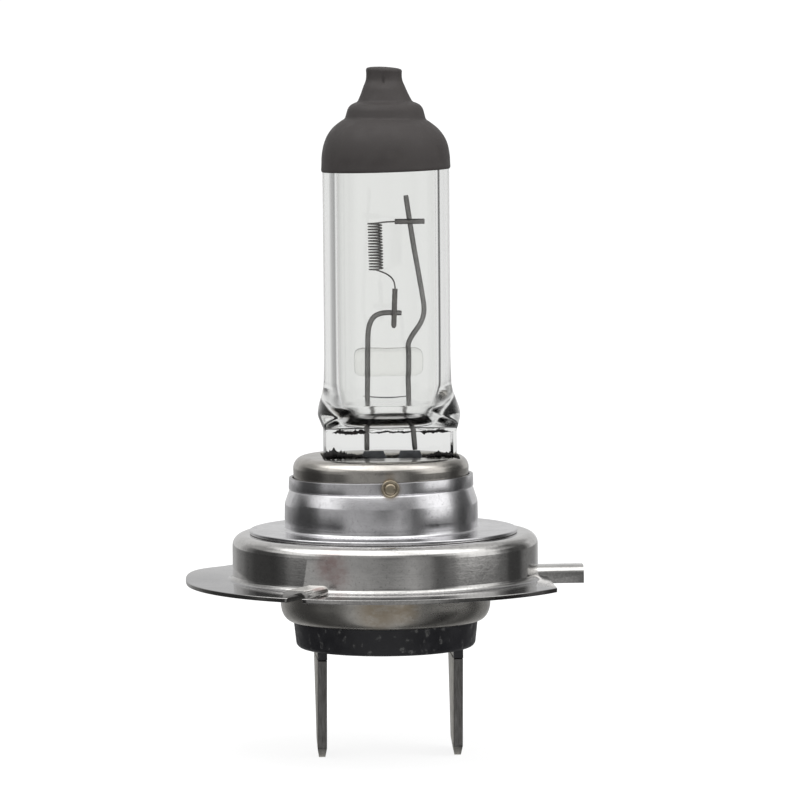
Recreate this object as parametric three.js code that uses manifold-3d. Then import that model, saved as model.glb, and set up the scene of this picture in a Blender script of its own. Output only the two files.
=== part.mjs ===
// A single-filament halogen headlight bulb on a 26 mm prefocus cap.
// Millimetres, +Z up. The origin lies on the cap's axis at the tips of the terminal blades.
// +X points along the key lug, and the blades' width runs along Y.
import * as THREE from "three";
import { mergeVertices } from "three/addons/utils/BufferGeometryUtils.js";
import Module from "manifold-3d";

const wasm = await Module();
wasm.setup();

// ---- Driving dimensions ----

const FACETS = 32; // sides of every turned piece
const FIT_GAP = 0.03; // between turned pieces that nest in each other
const CUT_GAP = 0.05; // between a piece and the pocket that holds it
const DEG = Math.PI / 180;

// Prefocus ring: drum, flange, supporting bosses and key lug, pressed from one sheet
const RING_SHEET = 0.38;
const DRUM_RADIUS = 13;
const DRUM_TOP = 18.95;
const DRUM_CORNER = 1;
const DRUM_HOLE_RADIUS = 8.75;
const FLANGE_RADIUS = 17;
const FLANGE_TOP = 15.1;
const FLANGE_FLAT_X = 13.7;
const ROOT_FILLET = 0.5;
const REFERENCE_PLANE = 16.05; // height of the bosses' lands, from which the filament is placed
const BOSS_WIDTH = 2.3;
const BOSS_LAND = 0.7;
const BOSS_ANGLES = [0, 120, 240];

// Focus sleeve: tube and disc, set on the ring and slightly off its axis
const SLEEVE_SHEET = 0.3;
const SLEEVE_X = -0.31;
const SLEEVE_TOP = 23.85;
const SLEEVE_NECK_RADIUS = 7.84;
const SLEEVE_BODY_RADIUS = 8.2;
const SLEEVE_STEP_TOP = 22.8;
const SLEEVE_STEP_BOTTOM = 21.6;
const DISC_X = -0.13;
const DISC_RADIUS = 11.4;
const DISC_BOTTOM = DRUM_TOP + FIT_GAP;
const DISC_TOP = DISC_BOTTOM + SLEEVE_SHEET;
const DISC_FILLET = 0.8;
const WELD_HEIGHT = 23.35;
const WELD_RADIUS = 0.45;
const WELD_PROUD = 0.1;
const WELD_ANGLES = [-88, 32, 152];

// Burner cup: pressed cap that grips the pinch
const CUP_SHEET = 0.4;
const CUP_RADIUS = 7.51;
const CUP_TOP = 25.3;
const CUP_BOTTOM = 19.6;
const CUP_CORNER = 1;
const CLAMP_LEAF = 0.3;
const CLAMP_WIDTH = 6;
const CLAMP_REACH = 5.2; // how far a leaf's foot reaches under the cup's top
const CLAMP_RISE = 1.6; // from the foot of the pinch to the foot of a leaf

// Base shell, insulator and blades
const SHELL_SHEET = 0.5;
const SHELL_RADIUS = 8.93;
const SHELL_BOTTOM = 11.5;
const SHELL_LIP_RADIUS = 7.98;
const SHELL_FLANGE_RADIUS = 11.9;
const SHELL_BEND = 0.45;
const SHELL_ROLL = 1.5; // height of the oval by which the wall turns in to the lip
const INSULATOR_BOTTOM = 9.2;
const INSULATOR_TOP = 13.8;
const INSULATOR_RADIUS = 7.84;
const INSULATOR_FOOT_RADIUS = 7.6;
const INSULATOR_CORNER = 0.5;
const STUB_DEPTH = 0.75;
const STUB_THICKNESS = 0.8;
const STUB_WIDTH = 0.45;
const BLADE_WIDTH = 6.3;
const BLADE_THICKNESS = 0.8;
const BLADE_SPACING = 11.55;
const BLADES_X = 0.17; // the middle of the pair, a trifle off the cap's axis
const BLADE_TIP_THICKNESS = 0.45;
const BLADE_TIP_INSET = 1.1;
const BLADE_TIP_RISE = 0.9;
const TANG_WIDTH = 5.4;
const TANG_THICKNESS = 0.62;
const TANG_TOP = 15;

// Glass envelope: tube, dome and exhaust tip above, flat pinch seal below
const TUBE_X = 0.31;
const TUBE_RADIUS = 5.4;
const BORE_RADIUS = 4.36;
const TUBE_FOOT = 28.6;
const DOME_START = 50.1;
const OVERALL_HEIGHT = 58.5;
const PAINT_THICKNESS = 0.1;
const PAINT_EDGE = 49.75;
const CAVITY_FOOT = 28;
const CAVITY_HEAD = 52.9;
const PINCH_X = 0.46;
const PINCH_WIDTH = 11.2;
const PINCH_EDGE_THICKNESS = 4.2;
const PINCH_WEB_THICKNESS = 3.4;
const PINCH_CORNER = 0.4;
const PINCH_RIB_WIDTH = 1.3;
const PINCH_RIB_SLOPE = 0.5;
const PINCH_BOTTOM = 17;
const PINCH_TOP = 29.2;
const SHOULDER_WIDTH = 12.2;
const SHOULDER_HEIGHT = 29.2;
const PINCH_SLOT_WIDTH = PINCH_WIDTH + 0.3; // in the cup's top
const PINCH_SLOT_DEPTH = 6;

// Wires inside the burner. Paths are (x, z) points in the plane of the pinch.
const LEAD_WIRE = 0.45;
const LEAD_STEPS = 36;
const LONG_LEAD = [
  [1.99, 47.6],
  [2.56, 43.8],
  [3.38, 39.05],
  [3.5, 38.2],
  [3.46, 37.5],
  [3.2, 36.8],
  [2.38, 35.6],
  [2.12, 35],
  [2.1, 34.2],
  [2.1, 31.5],
  [2.25, 29.5],
  [2.45, 27.4],
  [2.57, 25.8],
];
const SHORT_LEAD = [
  [1.55, 37.64],
  [0.9, 37.68],
  [-0.15, 37.64],
  [-0.78, 37.36],
  [-1.15, 36.75],
  [-1.3, 36],
  [-1.35, 34.4],
  [-1.41, 31.5],
  [-1.5, 29.8],
  [-1.53, 25.8],
];
const COIL_WIRE = 0.13;
const COIL_RADIUS = 0.575; // to the middle of the wire
const COIL_TURNS = 16.5;
const COIL_TOP = new THREE.Vector3(-0.65, 0, 45.3);
const COIL_FOOT = new THREE.Vector3(-0.57, 0, 41.3);
const FILAMENT_STEPS = 150;
const CRIMP_DIAMETER = 0.47;
const CRIMP_Y = -0.5; // the crimps lie in front of the leads
const UPPER_CRIMP = { start: [1, 45.43], end: [3.5, 45.43] };
const LOWER_CRIMP = { start: [0.97, 39.74], end: [0.84, 36.4] };

// Quartz bridge across the leads
const BRIDGE_X = 0.4;
const BRIDGE_Z = 33.5;
const BRIDGE_LENGTH = 5.85;
const BRIDGE_HEIGHT = 2.56;
const BRIDGE_DEPTH = 2.2;
const BRIDGE_CORNER = 1;

// Foils in the pinch, and the outer leads from them to the blades
const FOIL_X = { left: -0.95, right: 2.15 };
const FOIL_THICKNESS = 0.08;
const FOIL_TOP = 25.75;
const FOIL_BOTTOM = 19.2;
const FOIL_TOP_WIDTH = 1.7;
const FOIL_WIDTH = 2.3;
const FOIL_TAPER = 0.85;
const OUTER_LEAD = 0.8;

// ---- Solids ----

const vector = (x, z) => new THREE.Vector2(x, z);

function solidOf(geometry) {
  const bare = geometry.index ? geometry.toNonIndexed() : geometry.clone();
  bare.deleteAttribute("normal");
  bare.deleteAttribute("uv");
  const merged = mergeVertices(bare, 1e-4);
  const mesh = new wasm.Mesh({
    numProp: 3,
    vertProperties: merged.attributes.position.array,
    triVerts: new Uint32Array(merged.index.array),
  });
  return new wasm.Manifold(mesh);
}

function geometryOf(solid) {
  const mesh = solid.getMesh();
  const geometry = new THREE.BufferGeometry();
  geometry.setAttribute("position", new THREE.BufferAttribute(new Float32Array(mesh.vertProperties), 3));
  geometry.setIndex(new THREE.BufferAttribute(new Uint32Array(mesh.triVerts), 1));
  const flat = geometry.toNonIndexed();
  flat.computeVertexNormals();
  return flat;
}

// Turns a profile of (radius, height) points about Z. The points run upwards on the outside.
function turned(points, facets = FACETS) {
  const lathe = new THREE.LatheGeometry(points, facets);
  return lathe.rotateX(Math.PI / 2);
}

// Points of an arc from one angle to another, in degrees, as a profile's rounded corner.
function arc(x, z, radius, from, to, steps) {
  const points = [];
  for (let i = 0; i <= steps; i++) {
    const angle = (from + ((to - from) * i) / steps) * DEG;
    points.push(vector(x + radius * Math.cos(angle), z + radius * Math.sin(angle)));
  }
  return points;
}

function closed(points) {
  return [...points, points[0].clone()];
}

// A block with its middle at x, y and its feet at bottom.
function block(width, depth, bottom, top, x = 0, y = 0) {
  return new THREE.BoxGeometry(width, depth, top - bottom).translate(x, y, (top + bottom) / 2);
}

// An outline in X and Z, made into a plate whose middle plane is at y.
function plateXZ(points, thickness, y = 0) {
  const plate = new THREE.ExtrudeGeometry(new THREE.Shape(points), {
    depth: thickness,
    bevelEnabled: false,
  });
  return plate.translate(0, 0, -thickness / 2).rotateX(Math.PI / 2).translate(0, y, 0);
}

// A round wire or tube of the given diameter along a curve.
function wire(curve, diameter, sides, steps) {
  const section = new THREE.Shape();
  for (let i = 0; i < sides; i++) {
    const angle = (i * 2 * Math.PI) / sides;
    const x = (diameter / 2) * Math.cos(angle);
    const y = (diameter / 2) * Math.sin(angle);
    if (i === 0) section.moveTo(x, y);
    else section.lineTo(x, y);
  }
  section.closePath();
  return new THREE.ExtrudeGeometry(section, { steps, extrudePath: curve, bevelEnabled: false });
}

// ---- Materials ----

const finish = (color, roughness, metalness, opacity = 1) =>
  new THREE.MeshStandardMaterial({ color, roughness, metalness, opacity, transparent: opacity < 1 });

const quartz = finish(0xe6e9ea, 0.05, 0, 0.35);
const darkPaint = finish(0x3a3431, 0.75, 0);
const tungsten = finish(0x5c5a58, 0.45, 1);
const molybdenum = finish(0x6d6c68, 0.4, 1);
const stampedSteel = finish(0x9a9793, 0.35, 1);
const brightSteel = finish(0xb0adb2, 0.3, 1);
const heatTinted = finish(0x7d6a4e, 0.4, 1);
const blackPlastic = finish(0x1d1d20, 0.5, 0);
const bladeSteel = finish(0x77736f, 0.4, 1);

const bulb = new THREE.Group();

function add(name, geometry, material, x = 0) {
  const mesh = new THREE.Mesh(geometry, material);
  mesh.name = name;
  mesh.position.x = x;
  bulb.add(mesh);
  return mesh;
}

// ---- Terminal blades ----

// A quick-connect tab: chamfered tip, full-thickness blade, thinner tang up through the insulator.
function terminalBlade() {
  const half = BLADE_WIDTH / 2;
  const shoulder = INSULATOR_BOTTOM - STUB_DEPTH - CUT_GAP;
  const bulge = vector(half - 0.27 * BLADE_TIP_INSET, 0.39 * BLADE_TIP_RISE);
  const front = [
    vector(-half + BLADE_TIP_INSET, 0),
    vector(half - BLADE_TIP_INSET, 0),
    bulge,
    vector(half, BLADE_TIP_RISE),
    vector(half, shoulder),
    vector(TANG_WIDTH / 2, shoulder),
    vector(TANG_WIDTH / 2, TANG_TOP),
    vector(-TANG_WIDTH / 2, TANG_TOP),
    vector(-TANG_WIDTH / 2, shoulder),
    vector(-half, shoulder),
    vector(-half, BLADE_TIP_RISE),
    vector(-bulge.x, bulge.y),
  ];
  const thin = BLADE_TIP_THICKNESS / 2;
  const thick = BLADE_THICKNESS / 2;
  const tang = TANG_THICKNESS / 2;
  const side = [
    vector(-thin, -1),
    vector(thin, -1),
    vector(thin, 0),
    vector(thick, BLADE_TIP_RISE),
    vector(thick, shoulder),
    vector(tang, shoulder),
    vector(tang, TANG_TOP + 1),
    vector(-tang, TANG_TOP + 1),
    vector(-tang, shoulder),
    vector(-thick, shoulder),
    vector(-thick, BLADE_TIP_RISE),
    vector(-thin, 0),
  ];
  const outline = solidOf(plateXZ(front, 2 * BLADE_THICKNESS).rotateZ(Math.PI / 2));
  const taper = solidOf(plateXZ(side, 2 * BLADE_WIDTH));
  return geometryOf(outline.intersect(taper));
}

const bladeX = (sign) => BLADES_X + (sign * BLADE_SPACING) / 2;

for (const [side, sign] of [["left", -1], ["right", 1]]) {
  add(`terminal_blade_${side}`, terminalBlade(), bladeSteel, bladeX(sign));
}

// ---- Insulator ----

function insulator() {
  const corner = INSULATOR_CORNER;
  const waist = SHELL_BOTTOM + SHELL_SHEET + 0.25;
  const head = SHELL_RADIUS - SHELL_SHEET - FIT_GAP;
  const profile = [
    vector(0, INSULATOR_BOTTOM),
    vector(INSULATOR_FOOT_RADIUS - corner, INSULATOR_BOTTOM),
    ...arc(INSULATOR_FOOT_RADIUS - corner, INSULATOR_BOTTOM + corner, corner, -60, 0, 2),
    vector(INSULATOR_RADIUS, SHELL_BOTTOM - 0.1),
    vector(INSULATOR_RADIUS, waist),
    vector(head, SHELL_BOTTOM + SHELL_ROLL + CUT_GAP),
    vector(head, INSULATOR_TOP),
    vector(0, INSULATOR_TOP),
  ];
  // A stub stands on each side of a tang, and fills the notch between it and the blade's shoulder.
  const foot = INSULATOR_BOTTOM - STUB_DEPTH;
  const stubY = TANG_WIDTH / 2 + CUT_GAP + STUB_WIDTH / 2;
  let body = solidOf(turned(profile));
  for (const x of [bladeX(-1), bladeX(1)]) {
    for (const y of [-stubY, stubY]) {
      const stub = block(STUB_THICKNESS, STUB_WIDTH, foot, INSULATOR_BOTTOM + INSULATOR_CORNER, x, y);
      body = body.add(solidOf(stub));
    }
    const slot = block(
      TANG_THICKNESS + 2 * CUT_GAP,
      TANG_WIDTH + 2 * CUT_GAP,
      foot,
      INSULATOR_TOP + 1,
      x,
    );
    body = body.subtract(solidOf(slot));
  }
  return geometryOf(body);
}

add("insulator", insulator(), blackPlastic);

// ---- Base shell ----

// Rolled in under the insulator's shoulder, and flared out under the top of the ring's drum.
function baseShell() {
  const inner = SHELL_RADIUS - SHELL_SHEET;
  const flare = DRUM_TOP - RING_SHEET - CUT_GAP;
  const bend = SHELL_BEND;
  // A quarter oval from the lip up to the wall.
  const rolled = (reach, rise, bottom) =>
    arc(0, 0, 1, -90, 0, 5).map((p) => vector(SHELL_LIP_RADIUS + reach * p.x, bottom + rise * (1 + p.y)));
  return turned(
    closed([
      ...rolled(SHELL_RADIUS - SHELL_LIP_RADIUS, SHELL_ROLL, SHELL_BOTTOM),
      vector(SHELL_RADIUS, flare - SHELL_SHEET - bend),
      vector(SHELL_RADIUS + bend, flare - SHELL_SHEET),
      vector(SHELL_FLANGE_RADIUS, flare - SHELL_SHEET),
      vector(SHELL_FLANGE_RADIUS, flare),
      vector(inner + bend, flare),
      vector(inner, flare - bend),
      ...rolled(inner - SHELL_LIP_RADIUS, SHELL_ROLL - SHELL_SHEET, SHELL_BOTTOM + SHELL_SHEET).reverse(),
    ]),
  );
}

add("base_shell", baseShell(), stampedSteel);

// ---- Prefocus ring ----

// The drum and flange as one turned sheet, before the flat and the bosses are formed.
function ringSheet() {
  const inside = DRUM_RADIUS - RING_SHEET;
  const under = DRUM_TOP - RING_SHEET;
  const flangeBottom = FLANGE_TOP - RING_SHEET;
  const innerCorner = DRUM_CORNER - RING_SHEET;
  return turned(
    closed([
      vector(inside, flangeBottom),
      vector(FLANGE_RADIUS, flangeBottom),
      vector(FLANGE_RADIUS, FLANGE_TOP),
      ...arc(DRUM_RADIUS + ROOT_FILLET, FLANGE_TOP + ROOT_FILLET, ROOT_FILLET, 270, 180, 2),
      ...arc(DRUM_RADIUS - DRUM_CORNER, DRUM_TOP - DRUM_CORNER, DRUM_CORNER, 0, 90, 3),
      vector(DRUM_HOLE_RADIUS, DRUM_TOP),
      vector(DRUM_HOLE_RADIUS, under),
      vector(inside - innerCorner, under),
      vector(inside, under - innerCorner),
    ]),
  );
}

// The outline of a boss, an upturned U, grown inwards or outwards by one sheet's thickness.
function bossOutline(inset, foot) {
  const half = BOSS_WIDTH / 2 - inset;
  const top = REFERENCE_PLANE - inset;
  const land = BOSS_LAND / 2;
  const round = half - land;
  const shape = new THREE.Shape();
  shape.moveTo(-half, foot);
  shape.lineTo(half, foot);
  shape.lineTo(half, top - round);
  shape.lineTo(land + round * Math.cos(45 * DEG), top - round + round * Math.sin(45 * DEG));
  shape.lineTo(land, top);
  shape.lineTo(-land, top);
  shape.lineTo(-land - round * Math.cos(45 * DEG), top - round + round * Math.sin(45 * DEG));
  shape.lineTo(-half, top - round);
  shape.closePath();
  return shape;
}

// A boss runs outwards along +X before it is turned to its place.
function boss(inset, foot, start, end) {
  const bar = new THREE.ExtrudeGeometry(bossOutline(inset, foot), {
    depth: end - start,
    bevelEnabled: false,
  });
  return bar.rotateX(Math.PI / 2).rotateZ(Math.PI / 2).translate(start, 0, 0);
}

function prefocusRing() {
  const flangeBottom = FLANGE_TOP - RING_SHEET;
  const cutaway = block(
    2 * (FLANGE_RADIUS - FLANGE_FLAT_X),
    2.2 * FLANGE_RADIUS,
    flangeBottom - 1,
    FLANGE_TOP + 1,
    FLANGE_RADIUS,
  );
  let ring = solidOf(ringSheet()).subtract(solidOf(cutaway));
  for (const angle of BOSS_ANGLES) {
    const outside = boss(0, flangeBottom, DRUM_RADIUS - RING_SHEET / 2, FLANGE_RADIUS);
    const inside = boss(RING_SHEET, flangeBottom - 1, DRUM_RADIUS + 0.1, FLANGE_RADIUS + 1);
    ring = ring.add(solidOf(outside.rotateZ(angle * DEG)));
    ring = ring.subtract(solidOf(inside.rotateZ(angle * DEG)));
  }
  return geometryOf(ring);
}

add("prefocus_ring", prefocusRing(), stampedSteel);

// ---- Focus sleeve and its welds ----

function focusSleeve() {
  const neck = SLEEVE_NECK_RADIUS;
  const body = SLEEVE_BODY_RADIUS;
  const sheet = SLEEVE_SHEET;
  const middle = (SLEEVE_STEP_TOP + SLEEVE_STEP_BOTTOM) / 2;
  const rim = body + DISC_FILLET + sheet;
  const fillet = arc(body + DISC_FILLET, DISC_TOP + DISC_FILLET, DISC_FILLET, 270, 180, 3);
  const inner = arc(body + DISC_FILLET, DISC_TOP + DISC_FILLET, DISC_FILLET + sheet, 180, 270, 3);
  const tube = turned(
    closed([
      vector(rim, DISC_TOP),
      ...fillet,
      vector(body, SLEEVE_STEP_BOTTOM),
      vector((neck + body) / 2, middle),
      vector(neck, SLEEVE_STEP_TOP),
      vector(neck, SLEEVE_TOP),
      vector(neck - sheet, SLEEVE_TOP),
      vector(neck - sheet, SLEEVE_STEP_TOP),
      vector((neck + body) / 2 - sheet, middle),
      vector(body - sheet, SLEEVE_STEP_BOTTOM),
      ...inner,
      vector(rim, DISC_BOTTOM),
    ]),
  );
  const disc = turned(
    closed([
      vector(rim - sheet, DISC_BOTTOM),
      vector(DISC_RADIUS, DISC_BOTTOM),
      vector(DISC_RADIUS, DISC_TOP),
      vector(rim - sheet, DISC_TOP),
    ]),
  );
  let sleeve = solidOf(tube.translate(SLEEVE_X, 0, 0)).add(solidOf(disc.translate(DISC_X, 0, 0)));
  for (const angle of WELD_ANGLES) {
    sleeve = sleeve.subtract(solidOf(weldPin(angle, WELD_RADIUS + CUT_GAP, 0.5)));
  }
  return geometryOf(sleeve);
}

// A short pin through the sleeve's wall, at the given angle around the sleeve.
function weldPin(angle, radius, proud) {
  const start = CUP_RADIUS + FIT_GAP;
  const end = SLEEVE_NECK_RADIUS + proud;
  const profile = [
    vector(0, start),
    vector(radius, start),
    vector(radius, end - WELD_PROUD),
    vector(radius * 0.6, end),
    vector(0, end),
  ];
  const pin = turned(profile, 10).rotateY(Math.PI / 2);
  return pin.rotateZ(angle * DEG).translate(SLEEVE_X, 0, WELD_HEIGHT);
}

add("focus_sleeve", focusSleeve(), brightSteel);
WELD_ANGLES.forEach((angle, i) => {
  add(`sleeve_weld_${i + 1}`, weldPin(angle, WELD_RADIUS, WELD_PROUD), heatTinted);
});

// ---- Burner cup ----

function burnerCup() {
  const inside = CUP_RADIUS - CUP_SHEET;
  const corner = CUP_CORNER;
  const innerCorner = corner - CUP_SHEET;
  const profile = [
    vector(CUP_RADIUS, CUP_BOTTOM),
    ...arc(CUP_RADIUS - corner, CUP_TOP - corner, corner, 0, 90, 4),
    vector(0, CUP_TOP),
    vector(0, CUP_TOP - CUP_SHEET),
    vector(inside - innerCorner, CUP_TOP - CUP_SHEET),
    vector(inside, CUP_TOP - CUP_SHEET - innerCorner),
    vector(inside, CUP_BOTTOM),
  ];
  const cap = solidOf(turned(closed(profile)));
  const slot = block(
    PINCH_SLOT_WIDTH,
    PINCH_SLOT_DEPTH,
    CUP_TOP - 2 * corner,
    CUP_TOP + 1,
    PINCH_X - SLEEVE_X,
  );
  return geometryOf(cap.subtract(solidOf(slot)));
}

add("burner_cup", burnerCup(), brightSteel, SLEEVE_X);

// ---- Pinch clamp ----

// A sprung leaf between the pinch and the cup's slot: foot bent out under the cup's top.
function clampLeaf(sign) {
  const face = PINCH_EDGE_THICKNESS / 2 + CUT_GAP;
  const back = face + CLAMP_LEAF;
  const foot = PINCH_BOTTOM + CLAMP_RISE;
  const shelf = CUP_TOP - CUP_SHEET - CUT_GAP;
  const section = [
    vector(face, foot),
    vector(back, foot),
    vector(back, shelf - CLAMP_LEAF),
    vector(CLAMP_REACH, shelf - CLAMP_LEAF),
    vector(CLAMP_REACH, shelf),
    vector(face, shelf),
  ];
  const plate = plateXZ(section, CLAMP_WIDTH).rotateZ(sign * 90 * DEG);
  return plate.translate(PINCH_X, 0, 0);
}

add("pinch_clamp_front", clampLeaf(-1), brightSteel);
add("pinch_clamp_back", clampLeaf(1), brightSteel);

// ---- Wires inside the burner ----

const inPlane = ([x, z]) => new THREE.Vector3(x, 0, z);

const longLeadPath = new THREE.CatmullRomCurve3(LONG_LEAD.map(inPlane));
const shortLeadPath = new THREE.CatmullRomCurve3(SHORT_LEAD.map(inPlane));

add("long_lead_wire", wire(longLeadPath, LEAD_WIRE, 8, LEAD_STEPS), molybdenum);
add("short_lead_wire", wire(shortLeadPath, LEAD_WIRE, 8, LEAD_STEPS), molybdenum);

// The crimps are short tubes closed on the filament's legs.
function crimp(from, to) {
  const start = new THREE.Vector3(from[0], CRIMP_Y, from[1]);
  const end = new THREE.Vector3(to[0], CRIMP_Y, to[1]);
  return wire(new THREE.LineCurve3(start, end), CRIMP_DIAMETER, 10, 1);
}

add("upper_filament_sleeve", crimp(UPPER_CRIMP.start, UPPER_CRIMP.end), tungsten);
add("lower_filament_sleeve", crimp(LOWER_CRIMP.start, LOWER_CRIMP.end), tungsten);

// The coil winds upwards to the right. Its lower leg leaves from the back, its upper leg from the front.
function filamentPath() {
  const points = [
    new THREE.Vector3(LOWER_CRIMP.start[0] - 0.02, CRIMP_Y, LOWER_CRIMP.start[1] + CUT_GAP),
    new THREE.Vector3(0.87, -0.4, 40.38),
    new THREE.Vector3(0.6, -0.05, 40.76),
    new THREE.Vector3(0.1, 0.42, 41.1),
  ];
  const stepsPerTurn = 12;
  const steps = COIL_TURNS * stepsPerTurn;
  for (let i = 0; i <= steps; i++) {
    const angle = (90 + (360 * i) / stepsPerTurn) * DEG;
    const centre = COIL_FOOT.clone().lerp(COIL_TOP, i / steps);
    const offset = new THREE.Vector3(COIL_RADIUS * Math.cos(angle), COIL_RADIUS * Math.sin(angle), 0);
    points.push(centre.add(offset));
  }
  points.push(new THREE.Vector3(0.1, -0.56, COIL_TOP.z + 0.05));
  points.push(new THREE.Vector3(UPPER_CRIMP.start[0] - CUT_GAP, CRIMP_Y, UPPER_CRIMP.start[1]));
  const path = new THREE.CatmullRomCurve3(points);
  path.arcLengthDivisions = 4000;
  return path;
}

add("filament_coil", wire(filamentPath(), COIL_WIRE, 5, FILAMENT_STEPS), tungsten);

// ---- Quartz bridge ----

function channel(path) {
  return solidOf(wire(path, LEAD_WIRE + 2 * CUT_GAP, 8, LEAD_STEPS));
}

// A bead melted across both leads.
function quartzBridge() {
  const corner = BRIDGE_CORNER;
  const x = BRIDGE_LENGTH / 2 - corner;
  const z = BRIDGE_HEIGHT / 2 - corner;
  const outline = [
    ...arc(x, z, corner, 0, 90, 3),
    ...arc(-x, z, corner, 90, 180, 3),
    ...arc(-x, -z, corner, 180, 270, 3),
    ...arc(x, -z, corner, 270, 360, 3),
  ];
  const bead = solidOf(plateXZ(outline, BRIDGE_DEPTH).translate(BRIDGE_X, 0, BRIDGE_Z));
  return geometryOf(bead.subtract(channel(longLeadPath)).subtract(channel(shortLeadPath)));
}

add("quartz_bridge", quartzBridge(), quartz);

// ---- Foils and outer leads ----

// A foil's outline, grown on every side by a gap.
function foil(x, gap) {
  const top = FOIL_TOP_WIDTH / 2 + gap;
  const half = FOIL_WIDTH / 2 + gap;
  const outline = [
    vector(-half, FOIL_BOTTOM - gap),
    vector(half, FOIL_BOTTOM - gap),
    vector(half, FOIL_TOP - FOIL_TAPER),
    vector(top, FOIL_TOP + gap),
    vector(-top, FOIL_TOP + gap),
    vector(-half, FOIL_TOP - FOIL_TAPER),
  ];
  return plateXZ(outline, FOIL_THICKNESS + 2 * gap).translate(x, 0, 0);
}

// An outer lead runs from the foil out of the pinch and over to the inner face of a blade's tang.
function outerLeadPath(foilX, sign) {
  const tangFace = BLADE_SPACING / 2 - TANG_THICKNESS / 2;
  const landing = BLADES_X + sign * (tangFace - OUTER_LEAD / 2 - CUT_GAP);
  const along = (share) => foilX + (landing - foilX) * share;
  return new THREE.CatmullRomCurve3(
    [
      [foilX, FOIL_BOTTOM - CUT_GAP],
      [foilX, PINCH_BOTTOM + 0.4],
      [along(0.12), PINCH_BOTTOM - 0.4],
      [along(0.55), PINCH_BOTTOM - 1.1],
      [along(0.9), TANG_TOP + 0.3],
      [landing, TANG_TOP - 0.3],
      [landing, INSULATOR_TOP + 0.1],
    ].map(inPlane),
  );
}

for (const [side, sign] of [["left", -1], ["right", 1]]) {
  const x = FOIL_X[side];
  add(`molybdenum_foil_${side}`, foil(x, 0), molybdenum);
  add(`outer_lead_${side}`, wire(outerLeadPath(x, sign), OUTER_LEAD, 8, 20), molybdenum);
}

// ---- Glass envelope and its paint ----

// The dome and exhaust tip from the tube up, drawn inwards by an inset.
function domeProfile(inset) {
  const points = [
    [5.505, 50.3],
    [5.47, 51],
    [5.32, 51.9],
    [5.02, 52.7],
    [4.53, 53.45],
    [3.75, 53.95],
    [3.45, 54.2],
    [3.31, 54.5],
    [3.15, 55],
    [2.72, 55.45],
    [2.3, 55.7],
    [1.62, 57.4],
    [1.6, 58.2],
  ].map(([radius, height]) => vector(radius - inset, height - inset * 0.4));
  return [...points, vector(1.3 - inset, OVERALL_HEIGHT - inset)];
}

function paintCoat() {
  const outer = domeProfile(0);
  const inner = domeProfile(PAINT_THICKNESS).reverse();
  const edge = outer[0].x;
  return turned([
    vector(0, inner[0].y),
    ...inner,
    vector(edge - PAINT_THICKNESS, PAINT_EDGE),
    vector(edge, PAINT_EDGE),
    ...outer,
    vector(0, OVERALL_HEIGHT),
  ]);
}

add("antiglare_coating", paintCoat(), darkPaint, TUBE_X);

function tubeSolid() {
  const dome = domeProfile(PAINT_THICKNESS + FIT_GAP);
  const profile = [
    vector(0, TUBE_FOOT - 1),
    vector(3, TUBE_FOOT - 0.9),
    vector(4.6, TUBE_FOOT + 0.2),
    vector(5.3, TUBE_FOOT + 1.8),
    vector(TUBE_RADIUS, TUBE_FOOT + 2.8),
    vector(TUBE_RADIUS, PAINT_EDGE - 0.1),
    vector(dome[0].x, PAINT_EDGE),
    ...dome,
    vector(0, dome.at(-1).y),
  ];
  return solidOf(turned(profile).translate(TUBE_X, 0, 0));
}

function cavitySolid() {
  const profile = [
    vector(0, CAVITY_FOOT),
    vector(2.5, CAVITY_FOOT + 0.15),
    vector(4, CAVITY_FOOT + 1.1),
    vector(BORE_RADIUS, CAVITY_FOOT + 2.4),
    vector(BORE_RADIUS, DOME_START),
    vector(4.1, DOME_START + 1.3),
    vector(3.3, DOME_START + 2.2),
    vector(1.8, CAVITY_HEAD - 0.1),
    vector(0, CAVITY_HEAD),
  ];
  return solidOf(turned(profile).translate(TUBE_X, 0, 0));
}

// The pinch is a flat bar with thicker edges.
function pinchSolid() {
  const half = PINCH_WIDTH / 2;
  const edge = PINCH_EDGE_THICKNESS / 2;
  const web = PINCH_WEB_THICKNESS / 2;
  const quarter = [
    [half, edge - PINCH_CORNER],
    [half - PINCH_CORNER, edge],
    [half - PINCH_RIB_WIDTH, edge],
    [half - PINCH_RIB_WIDTH - PINCH_RIB_SLOPE, web],
  ];
  const upper = [...quarter, ...quarter.map(([x, y]) => [-x, y]).reverse()];
  const lower = upper.map(([x, y]) => [-x, -y]);
  const section = new THREE.Shape([...upper, ...lower].map(([x, y]) => new THREE.Vector2(x, y)));
  const bar = new THREE.ExtrudeGeometry(section, {
    depth: PINCH_TOP - PINCH_BOTTOM,
    bevelEnabled: false,
  });
  return solidOf(bar.translate(PINCH_X, 0, PINCH_BOTTOM));
}

// Where the tube is pressed flat, it spreads wider than both tube and pinch.
function shoulderSolid() {
  const wide = SHOULDER_WIDTH / 2;
  const half = PINCH_WIDTH / 2;
  const right = [
    vector(half, SHOULDER_HEIGHT - 1.8),
    vector(wide - 0.1, SHOULDER_HEIGHT - 0.9),
    vector(wide, SHOULDER_HEIGHT),
    vector(wide - 0.2, SHOULDER_HEIGHT + 0.8),
    vector(half - 0.2, SHOULDER_HEIGHT + 2),
  ];
  const left = right.map((point) => vector(-point.x, point.y)).reverse();
  return solidOf(plateXZ([...right, ...left], PINCH_EDGE_THICKNESS).translate(PINCH_X, 0, 0));
}

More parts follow.
